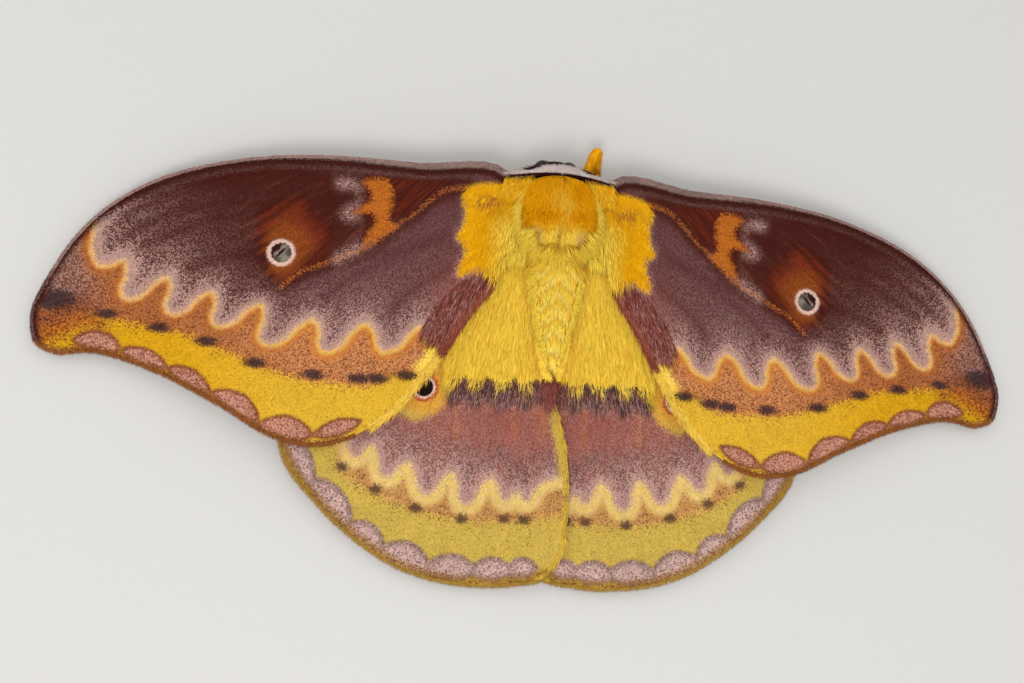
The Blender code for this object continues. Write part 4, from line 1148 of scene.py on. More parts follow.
def body_dye(y, turn, draw, spread=0.0):
    """Colour of the fur that starts at a place on the body."""
    dyes = colours()
    x = on_body(y, turn)[..., 0]
    shares = 0.5 + 0.3 * hump(x - 0.4, 1.6) * hump(y - 5.2, 2.6)
    shares -= 0.5 * hump(np.abs(x) - 2.2, 1.6) * hump(y - 4.0, 0.7)
    shares -= 0.3 * hump(x - 1.8, 1.0) * hump(y - 7.2, 1.4)
    dye = varied((dyes.ochre, dyes.thorax, dyes.hair), np.clip(shares, 0, 1), draw, spread)

    def lay(mask, colour):
        nonlocal dye
        tone = draw.uniform(1.0 - spread, 1.0 + spread, len(dye))[:, None]
        dye = dye + np.clip(mask, 0, 1)[:, None] * (np.array(tuple(colour)) * tone - dye)

    tier = tier_share(x, y)
    behind = y - 2.2 - 0.012 * np.minimum(x * x, 40.0) + 0.25 * np.sin(2.3 * x + 0.6)
    behind = behind + 4.0 * spread * draw.normal(0.0, 1.0, len(y))
    pale, rear = rise(0.2, -0.3, behind), rise(-2.0, -3.4, y)
    lay(pale, dyes.hair)
    lay(pale * 0.45 * hump(np.abs(x) - 1.5, 1.4) * hump(y + 0.2, 1.0), dyes.thorax)
    lay(rear * 0.8, dyes.thorax)
    lay(rear * (0.35 + 0.65 * rise(0.0, 0.7, tier)), dyes.abdomen)
    lay(rear * rise(0.45, 0.9, tier) * 0.6, dyes.lobe)
    lay(rise(-3.0, -4.0, y) * rise(0.78, 0.98, np.abs(turn) / 1.3) * 0.8, dyes.valley)
    lay(dabs(columns(x, y), PINK_DABS, 0.8, 0.65), dyes.pink)
    lay(hump(x + 0.35, 0.24) * hump(y - 1.2, 0.7) * 0.8, dyes.rust)
    lay(hump(x - 4.0, 1.2) * hump(y, 1.3), dyes.lobe)
    lay(rise(10.0, 10.05, y) * rise(1.5, 1.2, np.abs(turn)), dyes.maroon)
    lay(hump(np.abs(x - 0.1) - 0.15 * (9.7 - y), 0.16) * rise(9.0, 9.7, y), dyes.maroon)
    lay(rise(10.1, 10.15, y), dyes.collar)
    # Head skin and fur: dark, partly painted shadow in front of the collar.
    lay(rise(10.6, 10.8, y), dyes.head)
    return dye


def tier_share(x, y):
    """How far back a place lies in its chevron of abdomen fur, from 0 to 1."""
    return ((-y - TIER_SLOPE * np.abs(x)) / TIER_LENGTH) % 1.0


def grid_faces(rows, columns):
    """Triangles of a sheet of points, rows by columns."""
    first = (np.arange(rows - 1)[:, None] * columns + np.arange(columns - 1)).ravel()
    return np.vstack([np.c_[first, first + 1, first + columns + 1],
                      np.c_[first, first + columns + 1, first + columns]])


def body_skin():
    """One skin for thorax, abdomen and head, so that no seam shows."""
    rows = np.linspace(BODY_FRONT_Y, BODY_TIP_Y, 130)
    turns = np.linspace(-np.pi, np.pi, 73)
    y, turn = mesh_grid(rows, turns)
    points = on_body(y, turn).reshape(len(rows), len(turns), 3)
    points[[0, -1]] = points[[0, -1]].mean(1, keepdims=True)
    values = {"along": -y, "over": turn * 4.0, "loose": 0.0 * y, "share": 0.0 * y + 0.2,
              "draw": 0.0 * y + 0.5, "dye": body_dye(y, turn, random_numbers(5))}
    piece = make_mesh("body_skin", points.reshape(-1, 3), grid_faces(len(rows), len(turns)),
                      fur_finish("body_fur"), values, body_pattern(y, turn))
    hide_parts("thorax", "abdomen", "head")


# Fur of the body: name, slot, tufts, seed, from and to along y, angles from the top, length,
# loft, spread and half width.
BODY_FUR = (
    ("thorax", "thorax_fur", 9800, 11, (-1.2, 10.05), (-1.75, 1.75), 1.5, 0.36, 0.12, 0.038),
    ("thorax_rear", "thorax_fur", 1800, 12, (-0.8, 1.8), (-1.4, 1.4), 1.7, 0.35, 0.1, 0.045),
    ("thorax_under", "thorax_fur", 1500, 13, (-0.5, 9.5), (1.6, 4.7), 1.4, 0.35, 0.0, 0.07),
    ("abdomen", "abdomen_fur", 6200, 14, (-17.9, -0.8), (-1.7, 1.7), 1.5, 0.32, 0.1, 0.05),
    ("abdomen_tip", "abdomen_fur", 800, 17, (-17.7, -15.4), (-1.7, 1.7), 1.9, 0.4, 0.0, 0.05),
    ("abdomen_under", "abdomen_fur", 1300, 15, (-17.5, -0.5), (1.6, 4.7), 1.7, 0.25, 0.0, 0.07),
    # Head fur takes the head colour, which is dark partly as painted shadow.
    ("head", "head_fur", 1600, 16, (11.0, 13.5), (-1.9, 1.9), 0.9, 0.3, 0.0, 0.04),
)


def body_fur(label, slot, count, seed, reach, turns, length, loft, spread, half_width):
    """Fur that lies back along the body between two places, out to an angle from the top."""
    draw = random_numbers(seed)
    y, turn = draw.uniform(*reach, count), draw.uniform(*turns, count)
    lengths = length * draw.uniform(0.7, 1.25, count)
    tier = tier_share(on_body(y, turn)[:, 0], y)
    tier = np.where(y < -2.5, tier, draw.uniform(0.2, 0.8, count))
    height = loft * (0.35 + 0.9 * tier) * draw.uniform(0.6, 1.3, count)
    bend = spread * np.sin(turn) + draw.normal(0.0, 0.05, count)
    paths = along_tuft(3, lambda t, arch: on_body(
        y - lengths * t, turn + bend * t, height * arch - 0.05))
    up = unit(on_body(y, turn, 1.0) - on_body(y, turn, 0.0))
    lay_fur(f"{label}_fur_coat", slot, paths, up, half_width, "body_fur", (-y, turn * 4.0),
            body_dye(y, turn, draw, 0.1), body_pattern(y, turn), draw)


def free_fur(label, slot, starts, ways, lengths, loft, dye, half_width, draw):
    """Fur that bridges a gap: each tuft arches up and down again along its own way."""
    lengths = draw.uniform(*lengths, len(starts))
    ways = unit(ways + draw.normal(0.0, 0.07, ways.shape))
    loft = np.reshape(loft, (-1, 1))
    paths = along_tuft(3, lambda t, arch: starts + ways * (lengths * t)[:, None]
                       + UP * (loft * arch))
    y, turn = starts[:, 1], np.clip(starts[:, 0] / 8.0, -1.0, 1.0) * 1.5
    lay_fur(f"{label}_fur_coat", slot, paths, UP, half_width, "body_fur", (-y, turn * 4.0), dye,
            body_pattern(y, turn), draw)


def both_sides(count, draw, low, high):
    """A random side, -1 or 1, and a place between low and high along the body, for each tuft."""
    return (np.where(draw.uniform(0, 1, count) < 0.5, -1.0, 1.0), draw.uniform(low, high, count))


def gap_fur(draw):
    """Fur that closes the gaps between thorax, abdomen and wings."""
    dyes = colours()
    count = 2600
    side, y = both_sides(count, draw, 2.6, 9.9)
    starts = on_body(y, side * draw.uniform(0.9, 1.42, count), 0.05)
    ways = columns(side * draw.uniform(0.1, 0.4, count), -1.0, -0.2)
    dye = mingled((dyes.thorax, dyes.ochre, dyes.thorax), count, draw)
    free_fur("shield", "thorax_fur", starts, ways, (0.9, 1.7), 0.25, dye, 0.042, draw)
    count = 3200
    side, y = both_sides(count, draw, -1.0, 9.8)
    turn = side * (1.55 - draw.uniform(0.0, 0.25, count) * (1.0 + 2.2 * rise(3.2, 1.6, y)))
    ways = columns(side * draw.uniform(0.35, 0.9, count), draw.uniform(-1.0, -0.5, count), -0.12)
    shares = draw.uniform(0, 0.5, count) + 0.5 * rise(7.2, 9.4, y) * draw.uniform(0.5, 1, count)
    dye = varied((dyes.abdomen, dyes.hair, dyes.thorax), shares, draw)
    free_fur("shoulder", "thorax_fur", on_body(y, turn, 0.1), ways, (1.6, 3.0), 0.2, dye, 0.042,
             draw)
    for label, count, across, behind, height, row in (
            ("root", 1700, (3.6, 7.8), (7.6, 10.5), 8.6,
             (dyes.thorax, dyes.basal, dyes.thorax, dyes.hair, dyes.basal)),
            ("hinge", 800, (4.3, 6.8), (-1.8, 2.4), 8.0, (dyes.hair, dyes.hair, dyes.abdomen))):
        side, x = both_sides(count, draw, *across)
        y = draw.uniform(*behind, count)
        ways = columns(side * draw.uniform(0.1, 0.5, count), -1.0, -0.1)
        free_fur(label, "thorax_fur", columns(side * x, y - 0.1 * x, height - 0.1 * x), ways,
                 (1.2, 2.2), 0.25, mingled(row, count, draw), 0.045, draw)
    count = 1800
    side, y = both_sides(count, draw, -2.6, 0.0)
    starts = on_body(y, side * 1.5 * draw.uniform(0.0, 1.0, count) ** 0.6, 0.1)
    ways = columns(side * draw.uniform(0.1, 0.8, count), -1.0, -0.1)
    dye = mingled((dyes.hair, dyes.abdomen, dyes.hair, dyes.thorax), count, draw)
    free_fur("waist", "thorax_fur", starts, ways, (1.6, 3.0), 0.4, dye, 0.042, draw)
    count = 2600
    side, y = both_sides(count, draw, -15.8, -2.6)
    turn = side * draw.uniform(0.75, 1.35, count)
    ways = columns(side * draw.uniform(0.2, 0.7, count), -1.0, draw.uniform(-0.1, 0.1, count))
    shares = np.clip(tier_share(on_body(y, turn)[:, 0], y) + draw.normal(0, 0.12, count), 0, 1)
    dye = varied((dyes.hair, dyes.abdomen, dyes.abdomen), shares, draw)
    free_fur("abdomen_side", "abdomen_fur", on_body(y, turn, 0.05), ways, (0.8, 1.4),
             0.1 + 0.25 * shares, dye, 0.05, draw)


def collar_fur(draw):
    """The white collar, the dark line behind it and the dark fur in front of it, which is partly
    painted shadow in front of the collar.
    """
    dyes, count = colours(), 3200
    x = 7.6 * np.sign(draw.uniform(-1.0, 1.0, count)) * draw.uniform(0.0, 1.0, count) ** 1.25
    middle = rise(3.7, 1.8, np.abs(x + 0.1))
    y = 10.32 - 0.005 * x * x + draw.uniform(-1.0, 1.0, count) * (0.14 + 0.26 * middle)
    z = 9.5 - 1.85 * (np.abs(x) / 8.4) ** 1.5 - 0.5 * rise(10.6, 11.5, y)
    ways = columns(np.clip(x / 1.5, -1.0, 1.0) * draw.uniform(0.3, 1.2, count) * (1.5 - middle),
                   draw.uniform(-0.15, 0.15, count) + 0.6 * middle, -0.05 * np.abs(x))
    shares = np.clip(np.abs(x) / 9.0 + draw.normal(0.0, 0.15, count), 0.0, 1.0)
    dye = varied((dyes.collar, dyes.collar, dyes.costal), shares, draw)
    free_fur("collar", "thorax_fur", columns(x, y, z), ways, (0.5, 1.1), 0.15, dye, 0.036, draw)
    # Dark tufts in front of the collar: partly the head's own dark fur, partly painted shadow along
    # the moth's front edge.
    count = 1800
    x = 4.4 * draw.uniform(-1.0, 1.0, count)
    y = draw.uniform(10.3, 11.5, count) - 0.012 * x * x
    ways = columns(0.4 * x, draw.uniform(0.3, 0.7, count), draw.uniform(-0.4, 0.1, count))
    dye = mingled((dyes.head, dyes.dark, dyes.head, dyes.smoke), count, draw)
    z = draw.uniform(6.6, 8.3, count) - 0.2 * np.abs(x)
    free_fur("neck", "head_fur", columns(x, y, z), ways, (0.8, 1.3), 0.15, dye, 0.045, draw)
    count = 1000
    x = 7.0 * draw.uniform(-1.0, 1.0, count)
    starts = columns(x, 10.0 - 0.006 * x * x + draw.uniform(0.0, 0.08, count),
                     9.75 - 1.9 * (np.abs(x) / 7.4) ** 1.6)
    ways = columns(np.sign(x) * draw.uniform(0.4, 1.1, count), draw.uniform(-0.6, -0.1, count),
                   -0.06 * np.abs(x))
    dye = mingled((dyes.dark, dyes.maroon), count, draw)
    free_fur("collar_line", "thorax_fur", starts, ways, (0.4, 0.9), 0.05, dye, 0.025, draw)


def tube_frames(line):
    """Two ways across a line at each of its points, without twist."""
    along = unit(np.gradient(line, axis=0))
    first = np.empty_like(line)
    side = unit(np.cross(along[0], (0.3, 0.2, 0.93)))
    for i, way in enumerate(along):
        side = unit(side - way * side.dot(way))
        first[i] = side
    return first, np.cross(along, first)


def limb(name, nodes, route, radii, dye, tufts, tuft_length, seed, sides=14):
    """A furry limb: a tapering tube along a route, with tufts that lie towards its end."""
    draw = random_numbers(seed)
    line = curve(route, 8)
    radius = np.interp(np.linspace(0, len(radii) - 1, len(line)), np.arange(len(radii)), radii)
    first, second = tube_frames(line)
    gone = np.r_[0.0, np.cumsum(np.linalg.norm(np.diff(line, axis=0), axis=1))]
    angles = np.linspace(0.0, 2.0 * np.pi, sides + 1)

    def around(place, angle, lift):
        """Points round the limb at places along it, in millimetres from its start."""
        def at(track):
            return np.stack([np.interp(place, gone, track[:, k]) for k in range(3)], -1)
        way = at(first) * np.cos(angle)[..., None] + at(second) * np.sin(angle)[..., None]
        return at(line) + way * (np.interp(place, gone, radius) + lift)[..., None]

    place, angle = mesh_grid(gone, angles)
    points = around(place, angle, -0.12 + 0.0 * place).reshape(len(line), sides + 1, 3)
    points[[0, -1]] = points[[0, -1]].mean(1, keepdims=True)

    def values(place, angle, spread):
        shade = varied(dye, place / gone[-1], draw, spread)
        return {"along": place, "over": angle * 0.6, "dye": shade,
                "draw": draw.uniform(0, 1, len(place))}

    def pattern(place, angle):
        return columns(0.05 + 0.9 * angle / (2 * np.pi), 0.05 + 0.9 * place / gone[-1])

    skin = make_mesh(name, points.reshape(-1, 3), grid_faces(len(line), sides + 1)[:, ::-1],
                     fur_finish("limb_fur"),
                     {**values(place, angle, 0.0), "loose": 0.0 * place, "share": 0.0 * place},
                     pattern(place, angle))
    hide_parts(*nodes)
    place = draw.uniform(0.0, gone[-1], tufts)
    angle = draw.uniform(0.0, 2 * np.pi, tufts)
    thick = np.interp(place, gone, radius)
    lengths = tuft_length * draw.uniform(0.6, 1.2, tufts) * (0.35 + 0.65 * thick / max(radii))
    height = 0.12 + 0.08 * thick
    roots = around(place, angle, 0.0 * place)
    paths = along_tuft(3, lambda t, arch: around(place + lengths * t, angle, height * arch - 0.15))
    up = unit(around(place, angle, 1.0 + 0.0 * place) - roots)
    fur = coat(name + "_fur_coat", paths, up, 0.05 * draw.uniform(0.7, 1.2, tufts),
               fur_finish("limb_fur"), values(place, angle, 0.1), pattern(place, angle))
    return line


def limb_axis(route, side):
    """The joints of a limb on one side of the body."""
    return np.array(route) * (side, 1.0, 1.0)


LEG_RADII = (1.0, 1.0, 1.1, 0.9, 1.0, 0.75)
LEG_RADIUS = 0.72
TOE_RADIUS = 0.36
TOE_TIP_RADIUS = 0.3
HEEL_HEIGHT = 0.38
# Where each leg leaves the thorax, as y and the angle below level, and then its joints.
LEGS = {
    "foreleg_left": [(7.6, 48), (5.2, 8.8, 3.4), (7.2, 10.2, 3.6), (8.0, 9.6, 2.2),
                     (8.8, 9.0, 0.9), (11.4, 9.8, 0.33)],
    "foreleg_right": [(7.6, 48), (4.7, 12.2, 3.9), (6.2, 15.8, 4.5), (6.5, 13.0, 3.0),
                      (7.2, 10.6, 0.9), (9.0, 7.8, 0.33)],
    "midleg": [(4.8, 46), (6.0, 5.0, 3.5), (8.4, 5.2, 3.7), (9.9, 4.9, 2.3), (11.4, 4.6, 0.9),
               (15.4, 4.0, 0.33)],
    "hindleg": [(2.0, 48), (5.2, -0.6, 3.3), (7.2, -3.4, 3.5), (8.3, -6.2, 2.2),
                (9.2, -9.0, 0.9), (10.4, -14.4, 0.33)],
}


def leg(name, side, seed):
    """One leg: furry thigh and shin, a thin jointed foot and two claws."""
    dyes = colours()
    (y, low), *joints = LEGS[name if name in LEGS else name.split("_")[0]]
    root = on_body(np.array([y]), np.array([math.radians(90 + low)]))[0]
    route = [root] + [np.array(p) for p in joints]
    heel = route[-2] + 0.35 * (route[-1] - route[-2])
    heel[2] = HEEL_HEIGHT
    route.insert(-1, heel)
    radii = [LEG_RADIUS * r for r in LEG_RADII[:len(joints)]] + [TOE_RADIUS, TOE_TIP_RADIUS]
    dye = (dyes.thorax, dyes.thorax, dyes.leg, dyes.leg)
    line = limb(name, [name], limb_axis(route, side), radii, dye, 700, 0.9, seed)
    draw = random_numbers(seed + 1)
    way = unit(line[-1] - line[-4])
    across = unit(np.cross(way, UP[0]))
    paths = np.stack([[line[-1] + across * sign * 0.1 + way * 0.3 * t
                       + across * sign * 0.22 * t - UP[0] * 0.12 * t * t
                       for t in np.linspace(-0.5, 1.0, 4)] for sign in (-1, 1)])
    values = {"along": np.zeros(2), "over": np.zeros(2), "draw": np.zeros(2),
              "dye": varied((dyes.head, dyes.head), np.zeros(2), draw)}
    claws = coat(name + "_claws", paths, UP, np.full(2, 0.07), fur_finish("claw", 0.3), values,
                 np.full((2, 2), 0.5))


ANTENNA_ROUTE = [(1.35, 12.2, 5.6), (3.2, 11.4, 5.2), (6.4, 9.8, 4.8), (10.4, 7.0, 4.4)]
RAY_PAIRS = 38
RAY_LENGTH = 1.9
RAY_LEAN = 0.45
HAIRS_PER_RAY = 18
HAIR_LENGTH = 0.3


def antenna(side, seed):
    """A feeler: a thin stem with a close comb of hairy rays along both sides."""
    dyes, draw = colours(), random_numbers(seed)
    name = "antenna_" + ("right" if side > 0 else "left")
    line = limb(name, [name], limb_axis(ANTENNA_ROUTE, side),
                (0.26, 0.22, 0.17, 0.08), (dyes.comb, dyes.comb), 500, 0.35, seed, 10)
    shares = np.repeat(0.1 + 0.88 * np.arange(RAY_PAIRS) / (RAY_PAIRS - 1), 2)
    signs = np.tile([-1.0, 1.0], RAY_PAIRS)
    where, marks = shares * (len(line) - 1), np.arange(len(line))
    root = columns(*[np.interp(where, marks, part) for part in line.T])
    along = unit(columns(*[np.interp(where, marks, g) for g in np.gradient(line, axis=0).T]))
    level = unit(np.cross(along, UP[0]))
    way = unit(level * signs[:, None] + along * RAY_LEAN + (0.0, 0.0, -0.25))
    lengths = RAY_LENGTH * np.sin(np.pi * (0.12 + 0.8 * shares)) ** 0.8
    paths = along_tuft(5, lambda t, arch: root + way * (lengths * t)[:, None]
                       + along * (0.25 * lengths * t * t)[:, None])
    count = len(root)
    values = {"along": shares, "over": signs, "draw": draw.uniform(0, 1, count),
              "dye": varied((dyes.comb, dyes.comb), shares, draw)}
    pattern = columns(0.5 + 0.3 * signs, 0.1 + 0.8 * shares)
    rays = coat(name + "_rays", paths, UP, np.full(count, 0.075), fur_finish("limb_fur"), values,
                pattern, (1.0, 0.8, 0.5))
    each = HAIRS_PER_RAY
    spots = draw.uniform(0.05, 1.0, (count, each))
    start = root[:, None] + way[:, None] * (lengths[:, None] * spots)[..., None]
    start += along[:, None] * (0.25 * lengths[:, None] * spots**2)[..., None]
    sides = np.where(draw.uniform(0, 1, (count, each)) < 0.5, -1, 1)[..., None]
    lean = unit(along[:, None] * sides + way[:, None] * 0.8
                + draw.normal(0, 0.2, (count, each, 3)))
    start, lean = start.reshape(-1, 3), lean.reshape(-1, 3)
    values = {key: np.repeat(v, each, axis=0) for key, v in values.items()}
    fine = coat(name + "_fine_hairs", np.stack([start, start + lean * HAIR_LENGTH], 1), UP,
                np.full(len(start), 0.02), fur_finish("limb_fur"), values,
                np.repeat(pattern, each, axis=0))


def eye(side, label):
    """A round eye."""
    rows, turns = np.linspace(0, np.pi, 33), np.linspace(0, 2 * np.pi, 49)
    row, turn = mesh_grid(rows, turns)
    points = columns(np.sin(row) * np.cos(turn), np.sin(row) * np.sin(turn), np.cos(row))
    piece = make_mesh(f"eye_{label}_globe", points * EYE_RADIUS + limb_axis(EYE_PLACE, side),
                      grid_faces(len(rows), len(turns))[:, ::-1], eye_finish())
    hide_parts("eye_" + label)


def eye_finish():
    """Dark shining eye with fine facets."""
    look = Finish("eye_facets", Roughness=0.4, Specular_IOR_Level=0.25)
    place = look.node("ShaderNodeTexCoord").outputs["Object"]
    facets = look.node("ShaderNodeTexVoronoi", (), {"Vector": place, "Scale": 9000.0})
    look.bump(Amount(look, facets.outputs["Distance"]) * -1.0, 0.02, 0.5)
    patch = look.noise(place, 700.0)
    return look.colour(look.mix(tuple(colours().head), tuple(colours().dark), patch))


def bare_disc(wing, centre, radius, name, finish, dent=0.0):
    """A small disc of bare membrane in the wing, with a crease as deep as the dent."""
    rings, turns = np.linspace(0.0, 1.0, 12), np.linspace(0, 2 * np.pi, 49)
    ring, turn = mesh_grid(rings, turns)
    plan = np.array(centre) + radius * columns(ring * np.cos(turn), ring * np.sin(turn))
    lift = wing.relief(plan, OFF_VEINS) + 0.10 * (1.0 - ring**2) + 0.02
    crease = np.abs((plan - centre) @ np.array((0.75, 0.66)))
    lift -= dent * hump(crease, 0.28) * (1.0 - ring)
    faces = grid_faces(len(rings), len(turns))
    if wing.side < 0:
        faces = faces[:, ::-1]
    make_mesh(name, wing.place(plan, lift), faces, finish)


def window_shade_finish():
    """Bare membrane: glossy, with darker wrinkles; its grey-olive is painted shade of the floor
    under the wing, seen through the clear membrane.
    """
    if "window_membrane" in bpy.data.materials:
        return bpy.data.materials["window_membrane"]
    look = Finish("window_membrane", Roughness=0.3, Specular_IOR_Level=0.4, Coat_Weight=0.2,
                  Coat_Roughness=0.1)
    place = look.node("ShaderNodeTexCoord").outputs["Object"]
    wrinkle = look.noise(place, 1500.0, 4.0)
    look.bump(wrinkle, 0.12, 0.6)
    patch = look.rise(0.4, 0.62, look.noise(place, 520.0, 1.0))
    # Painted shade: the two grey-olives stand in for the shaded floor seen through the clear
    # window.
    return look.colour(look.mix(tint(60, 54, 42), tint(126, 116, 98), patch))


def spot_finish():
    """The hindwing eyespot's black middle."""
    if "eyespot_black" in bpy.data.materials:
        return bpy.data.materials["eyespot_black"]
    look = Finish("eyespot_black", Roughness=0.7, Specular_IOR_Level=0.05)
    place = look.node("ShaderNodeTexCoord").outputs["Object"]
    return look.colour(look.mix(tint(14, 8, 8), tint(40, 20, 22), look.noise(place, 2500.0)))


def edge_tufts(wing, label, part, count, depth, length, turn, row, half_width, seed, spread,
               loft=0.06, stations=2):
    """Short tufts along part of a wing's edge, turned from the way along it."""
    draw = random_numbers(wing.seed + seed)
    edge = even(wing.outline[slice(*part)], 0.1)
    place = draw.uniform(0, len(edge) - 2, count)
    at, ahead = place.astype(int), (place % 1.0)[:, None]
    along = unit(edge[at + 1] - edge[at])
    roots = edge[at] * (1 - ahead) + edge[at + 1] * ahead
    roots = roots + columns(along[:, 1], -along[:, 0]) * draw.uniform(*depth, count)[:, None]
    lie = turned(along, turn + draw.normal(0.0, spread, count))
    lengths = length * draw.uniform(0.7, 1.2, count)
    base = wing.relief(roots, OFF_VEINS) * 0.7
    paths = along_tuft(stations, lambda t, arch: wing.place(
        roots + lie * (lengths * t)[:, None], base + loft * arch - 0.02))
    reach, over, _ = fan(roots)
    row = [getattr(colours(), name) for name in row.split()]
    values = {"along": reach, "over": over, "draw": draw.uniform(0, 1, count),
              "dye": mingled(row, count, draw)}
    piece = coat(f"{wing.name}_{label}", paths, UP, np.full(count, half_width),
                 fur_finish("wing_hair"), values, wing.unwrap(roots), (0.9, 1.0))


# Tufts along the edges: name, part of the outline's points, how many, how far in they start,
# length, turn, colours, half width, seed and spread, then loft and stations where they differ.
EDGE_TUFTS = {
    "forewing": (
        ("rosy_edge", (120, 108, -1), 1100, (-0.7, 0.4), 1.5, -0.12, "maroon rosy rosy rust",
         0.036, 67, 0.2, 0.15, 3),
        ("rear_hair", (110, 97, -1), 1500, (-1.4, 0.4), 1.4, 0.0, "yellow hair line",
         0.034, 62, 0.3, 0.03, 3),
        ("costal_base_scales", (5, 15), 3000, (0.0, 1.0), 0.6, 0.03, "costal costal lilac dark",
         0.045, 63, 0.12),
        ("costal_scales", (14, 44), 3800, (0.0, 0.42), 0.45, 0.03, "costal lilac lilac maroon",
         0.045, 64, 0.1),
        ("apex_scales", (42, 54), 1500, (0.1, 0.5), 0.45, 0.3, "lilac maroon dark",
         0.045, 65, 0.2),
        ("fringe", (52, 97), 4800, (0.3, 0.6), 0.55, 1.4, "fringe brown fringe flame",
         0.04, 66, 0.2),
    ),
    "hindwing": (
        ("fringe", (28, 76), 4600, (0.3, 0.6), 0.55, 1.4, "hem hem lemon", 0.04, 76, 0.2),
        ("side_hair", (126, 98, -1), 2200, (-0.8, 0.5), 2.2, -0.04, "hair hair valley",
         0.04, 77, 0.16, 0.14, 3),
        ("inner_hair", (96, 71, -1), 2000, (-2.4, 0.0), 1.5, 0.06, "lemon lemon yellow hair",
         0.036, 78, 0.2, 0.03, 3),
    ),
}


def polygon_roots(outline, count, draw):
    """Random plan points inside an outline."""
    outline = np.array(outline, float)
    spots = draw.uniform(outline.min(0), outline.max(0), (count * 5, 2))
    return spots[inside(spots, outline)][:count]


def forewing_fur(wing):
    """The fur of the forewing's base and the rosy hair behind it."""
    dyes, draw = colours(), random_numbers(wing.seed + FOREWING_FUR_SEED)
    roots = polygon_roots(curve(BASAL, 3, True), 4200, draw)
    roots = roots[(roots[:, 0] > 4.6) & inside(roots, wing.outline)]
    near = rise(13.5, 6.5, roots[:, 0]) * rise(8.5, 2.5, roots[:, 1])
    dye = varied((dyes.basal, dyes.basal, dyes.hair), near, draw)
    brown = dabs(roots, [BASAL_SPOT], 2.0, 1.3)[:, None] * draw.uniform(0.5, 1.4, (len(roots), 1))
    dye = toward(dye, dyes.rust, np.clip(brown, 0, 1))
    wing_fur(wing, "base_fur", roots, draw.uniform(0.9, 2.0, len(roots)) * (0.7 + 0.7 * near),
             0.08 + 0.14 * near, dye, 0.042, draw)
    roots = polygon_roots(ROSY_PATCH, 1500, draw)
    roots = roots[inside(roots, wing.outline)]
    dye = mingled((dyes.maroon, dyes.rosy, dyes.rosy, dyes.lilac), len(roots), draw)
    rear = rise(0.9, 0.0, away(roots, wing.outline[104:124]))[:, None]
    wing_fur(wing, "rosy_hair", roots, draw.uniform(1.2, 2.4, len(roots)), 0.16,
             toward(dye, dyes.rust, 0.6 * rear), 0.04, draw)


def clumps(roots):
    """How much further the hair reaches in its broad tongues beside the abdomen."""
    return np.sin(roots[:, 0] * 1.9 + 1.2) + 0.45 * np.sin(roots[:, 0] * 4.7)


def hindwing_fur(wing):
    """The long yellow hair beside the abdomen, its dark ends and the silky field."""
    dyes, draw = colours(), random_numbers(wing.seed + HINDWING_FUR_SEED)
    roots = polygon_roots(YELLOW_HAIR, 7800, draw)
    x, y = roots.T
    count = len(roots)
    shares = np.clip(0.92 + draw.normal(0, 0.12, count), 0, 1)
    dye = varied((dyes.basal, dyes.thorax, dyes.hair), shares, draw, 0.05)
    dye = toward(dye, dyes.valley, hump(x - 1.4 + 0.14 * (-y - 19.0), 0.8)[:, None] * 0.5)
    lengths = draw.uniform(2.8, 4.8, count)
    room = y + 20.4 + 1.6 * clumps(roots) + draw.uniform(0, 0.6, count)
    wing_fur(wing, "yellow_hair", roots, np.minimum(lengths, np.maximum(room, 0.5)),
             draw.uniform(0.14, 0.34, count), dye, 0.045, draw)
    count = 2600
    roots = columns(draw.uniform(-0.5, 13.8, count), -18.2 - 3.0 * draw.uniform(0, 1, count) ** 1.5)
    shares = np.clip(draw.uniform(0, 1, count) + 0.1 * (-19.5 - roots[:, 1]), 0, 1)
    dye = varied((dyes.dark, dyes.smoke, dyes.smoke, dyes.mauve, dyes.lilac), shares, draw)
    dye = toward(dye, dyes.rosy, 0.7 * hump(roots[:, 0], 1.9)[:, None])
    wing_fur(wing, "dark_hair", roots, draw.uniform(1.4, 2.6, count) + 0.6 * clumps(roots), 0.3,
             dye, 0.036, draw)
    roots = polygon_roots(curve(MAUVE_FIELD, 3, True), 4800, draw)
    zigzag = beyond(roots, HIND_LINE, *PAST_HIND_LINE)
    roots = roots[(roots[:, 1] < -20.2) & (zigzag < -2.0)]
    count = len(roots)
    dye = mingled((dyes.mauve, dyes.rosy, dyes.mauve, dyes.lilac), count, draw)
    streak = np.clip(hindwing_marks(wing, roots)["warm"], 0, 1) * draw.uniform(0, 1.2, count)
    dye = toward(dye, dyes.flame, 0.6 * np.clip(streak, 0, 1)[:, None])
    wing_fur(wing, "field_hair", roots, draw.uniform(0.7, 1.4, count), 0.08, dye, 0.03, draw, 2)


def dressed_wing(kind, side, scales, fur):
    """One wing with its skin, raised scales, long fur and the tufts of its edges."""
    wing = Wing(kind, side)
    wing_skin(wing)
    wing_scales(wing, scales)
    fur(wing)
    for row in EDGE_TUFTS[kind]:
        edge_tufts(wing, *row)
    return wing


class MakeForewings(bpy.types.Operator):
    """Skin both forewings and lay their scales, fur and windows, whose grey-olive is painted shade
    seen through the clear membrane.
    """

    bl_idname = "moth.forewings"
    bl_label = "Forewings"

    def execute(self, context):
        for side in (-1, 1):
            wing = dressed_wing("forewing", side, sizes().forewing_scales, forewing_fur)
            bare_disc(wing, WINDOW, WINDOW_RADIUS, wing.name + "_window", window_shade_finish(), 0.12)
        return {"FINISHED"}


class MakeHindwings(bpy.types.Operator):
    """Skin both hindwings and lay their scales, fur and eyespots."""

    bl_idname = "moth.hindwings"
    bl_label = "Hindwings"

    def execute(self, context):
        for side in (-1, 1):
            wing = dressed_wing("hindwing", side, sizes().hindwing_scales, hindwing_fur)
            bare_disc(wing, wing.eyespot, EYESPOT_RADIUS, wing.name + "_eyespot", spot_finish())
        return {"FINISHED"}


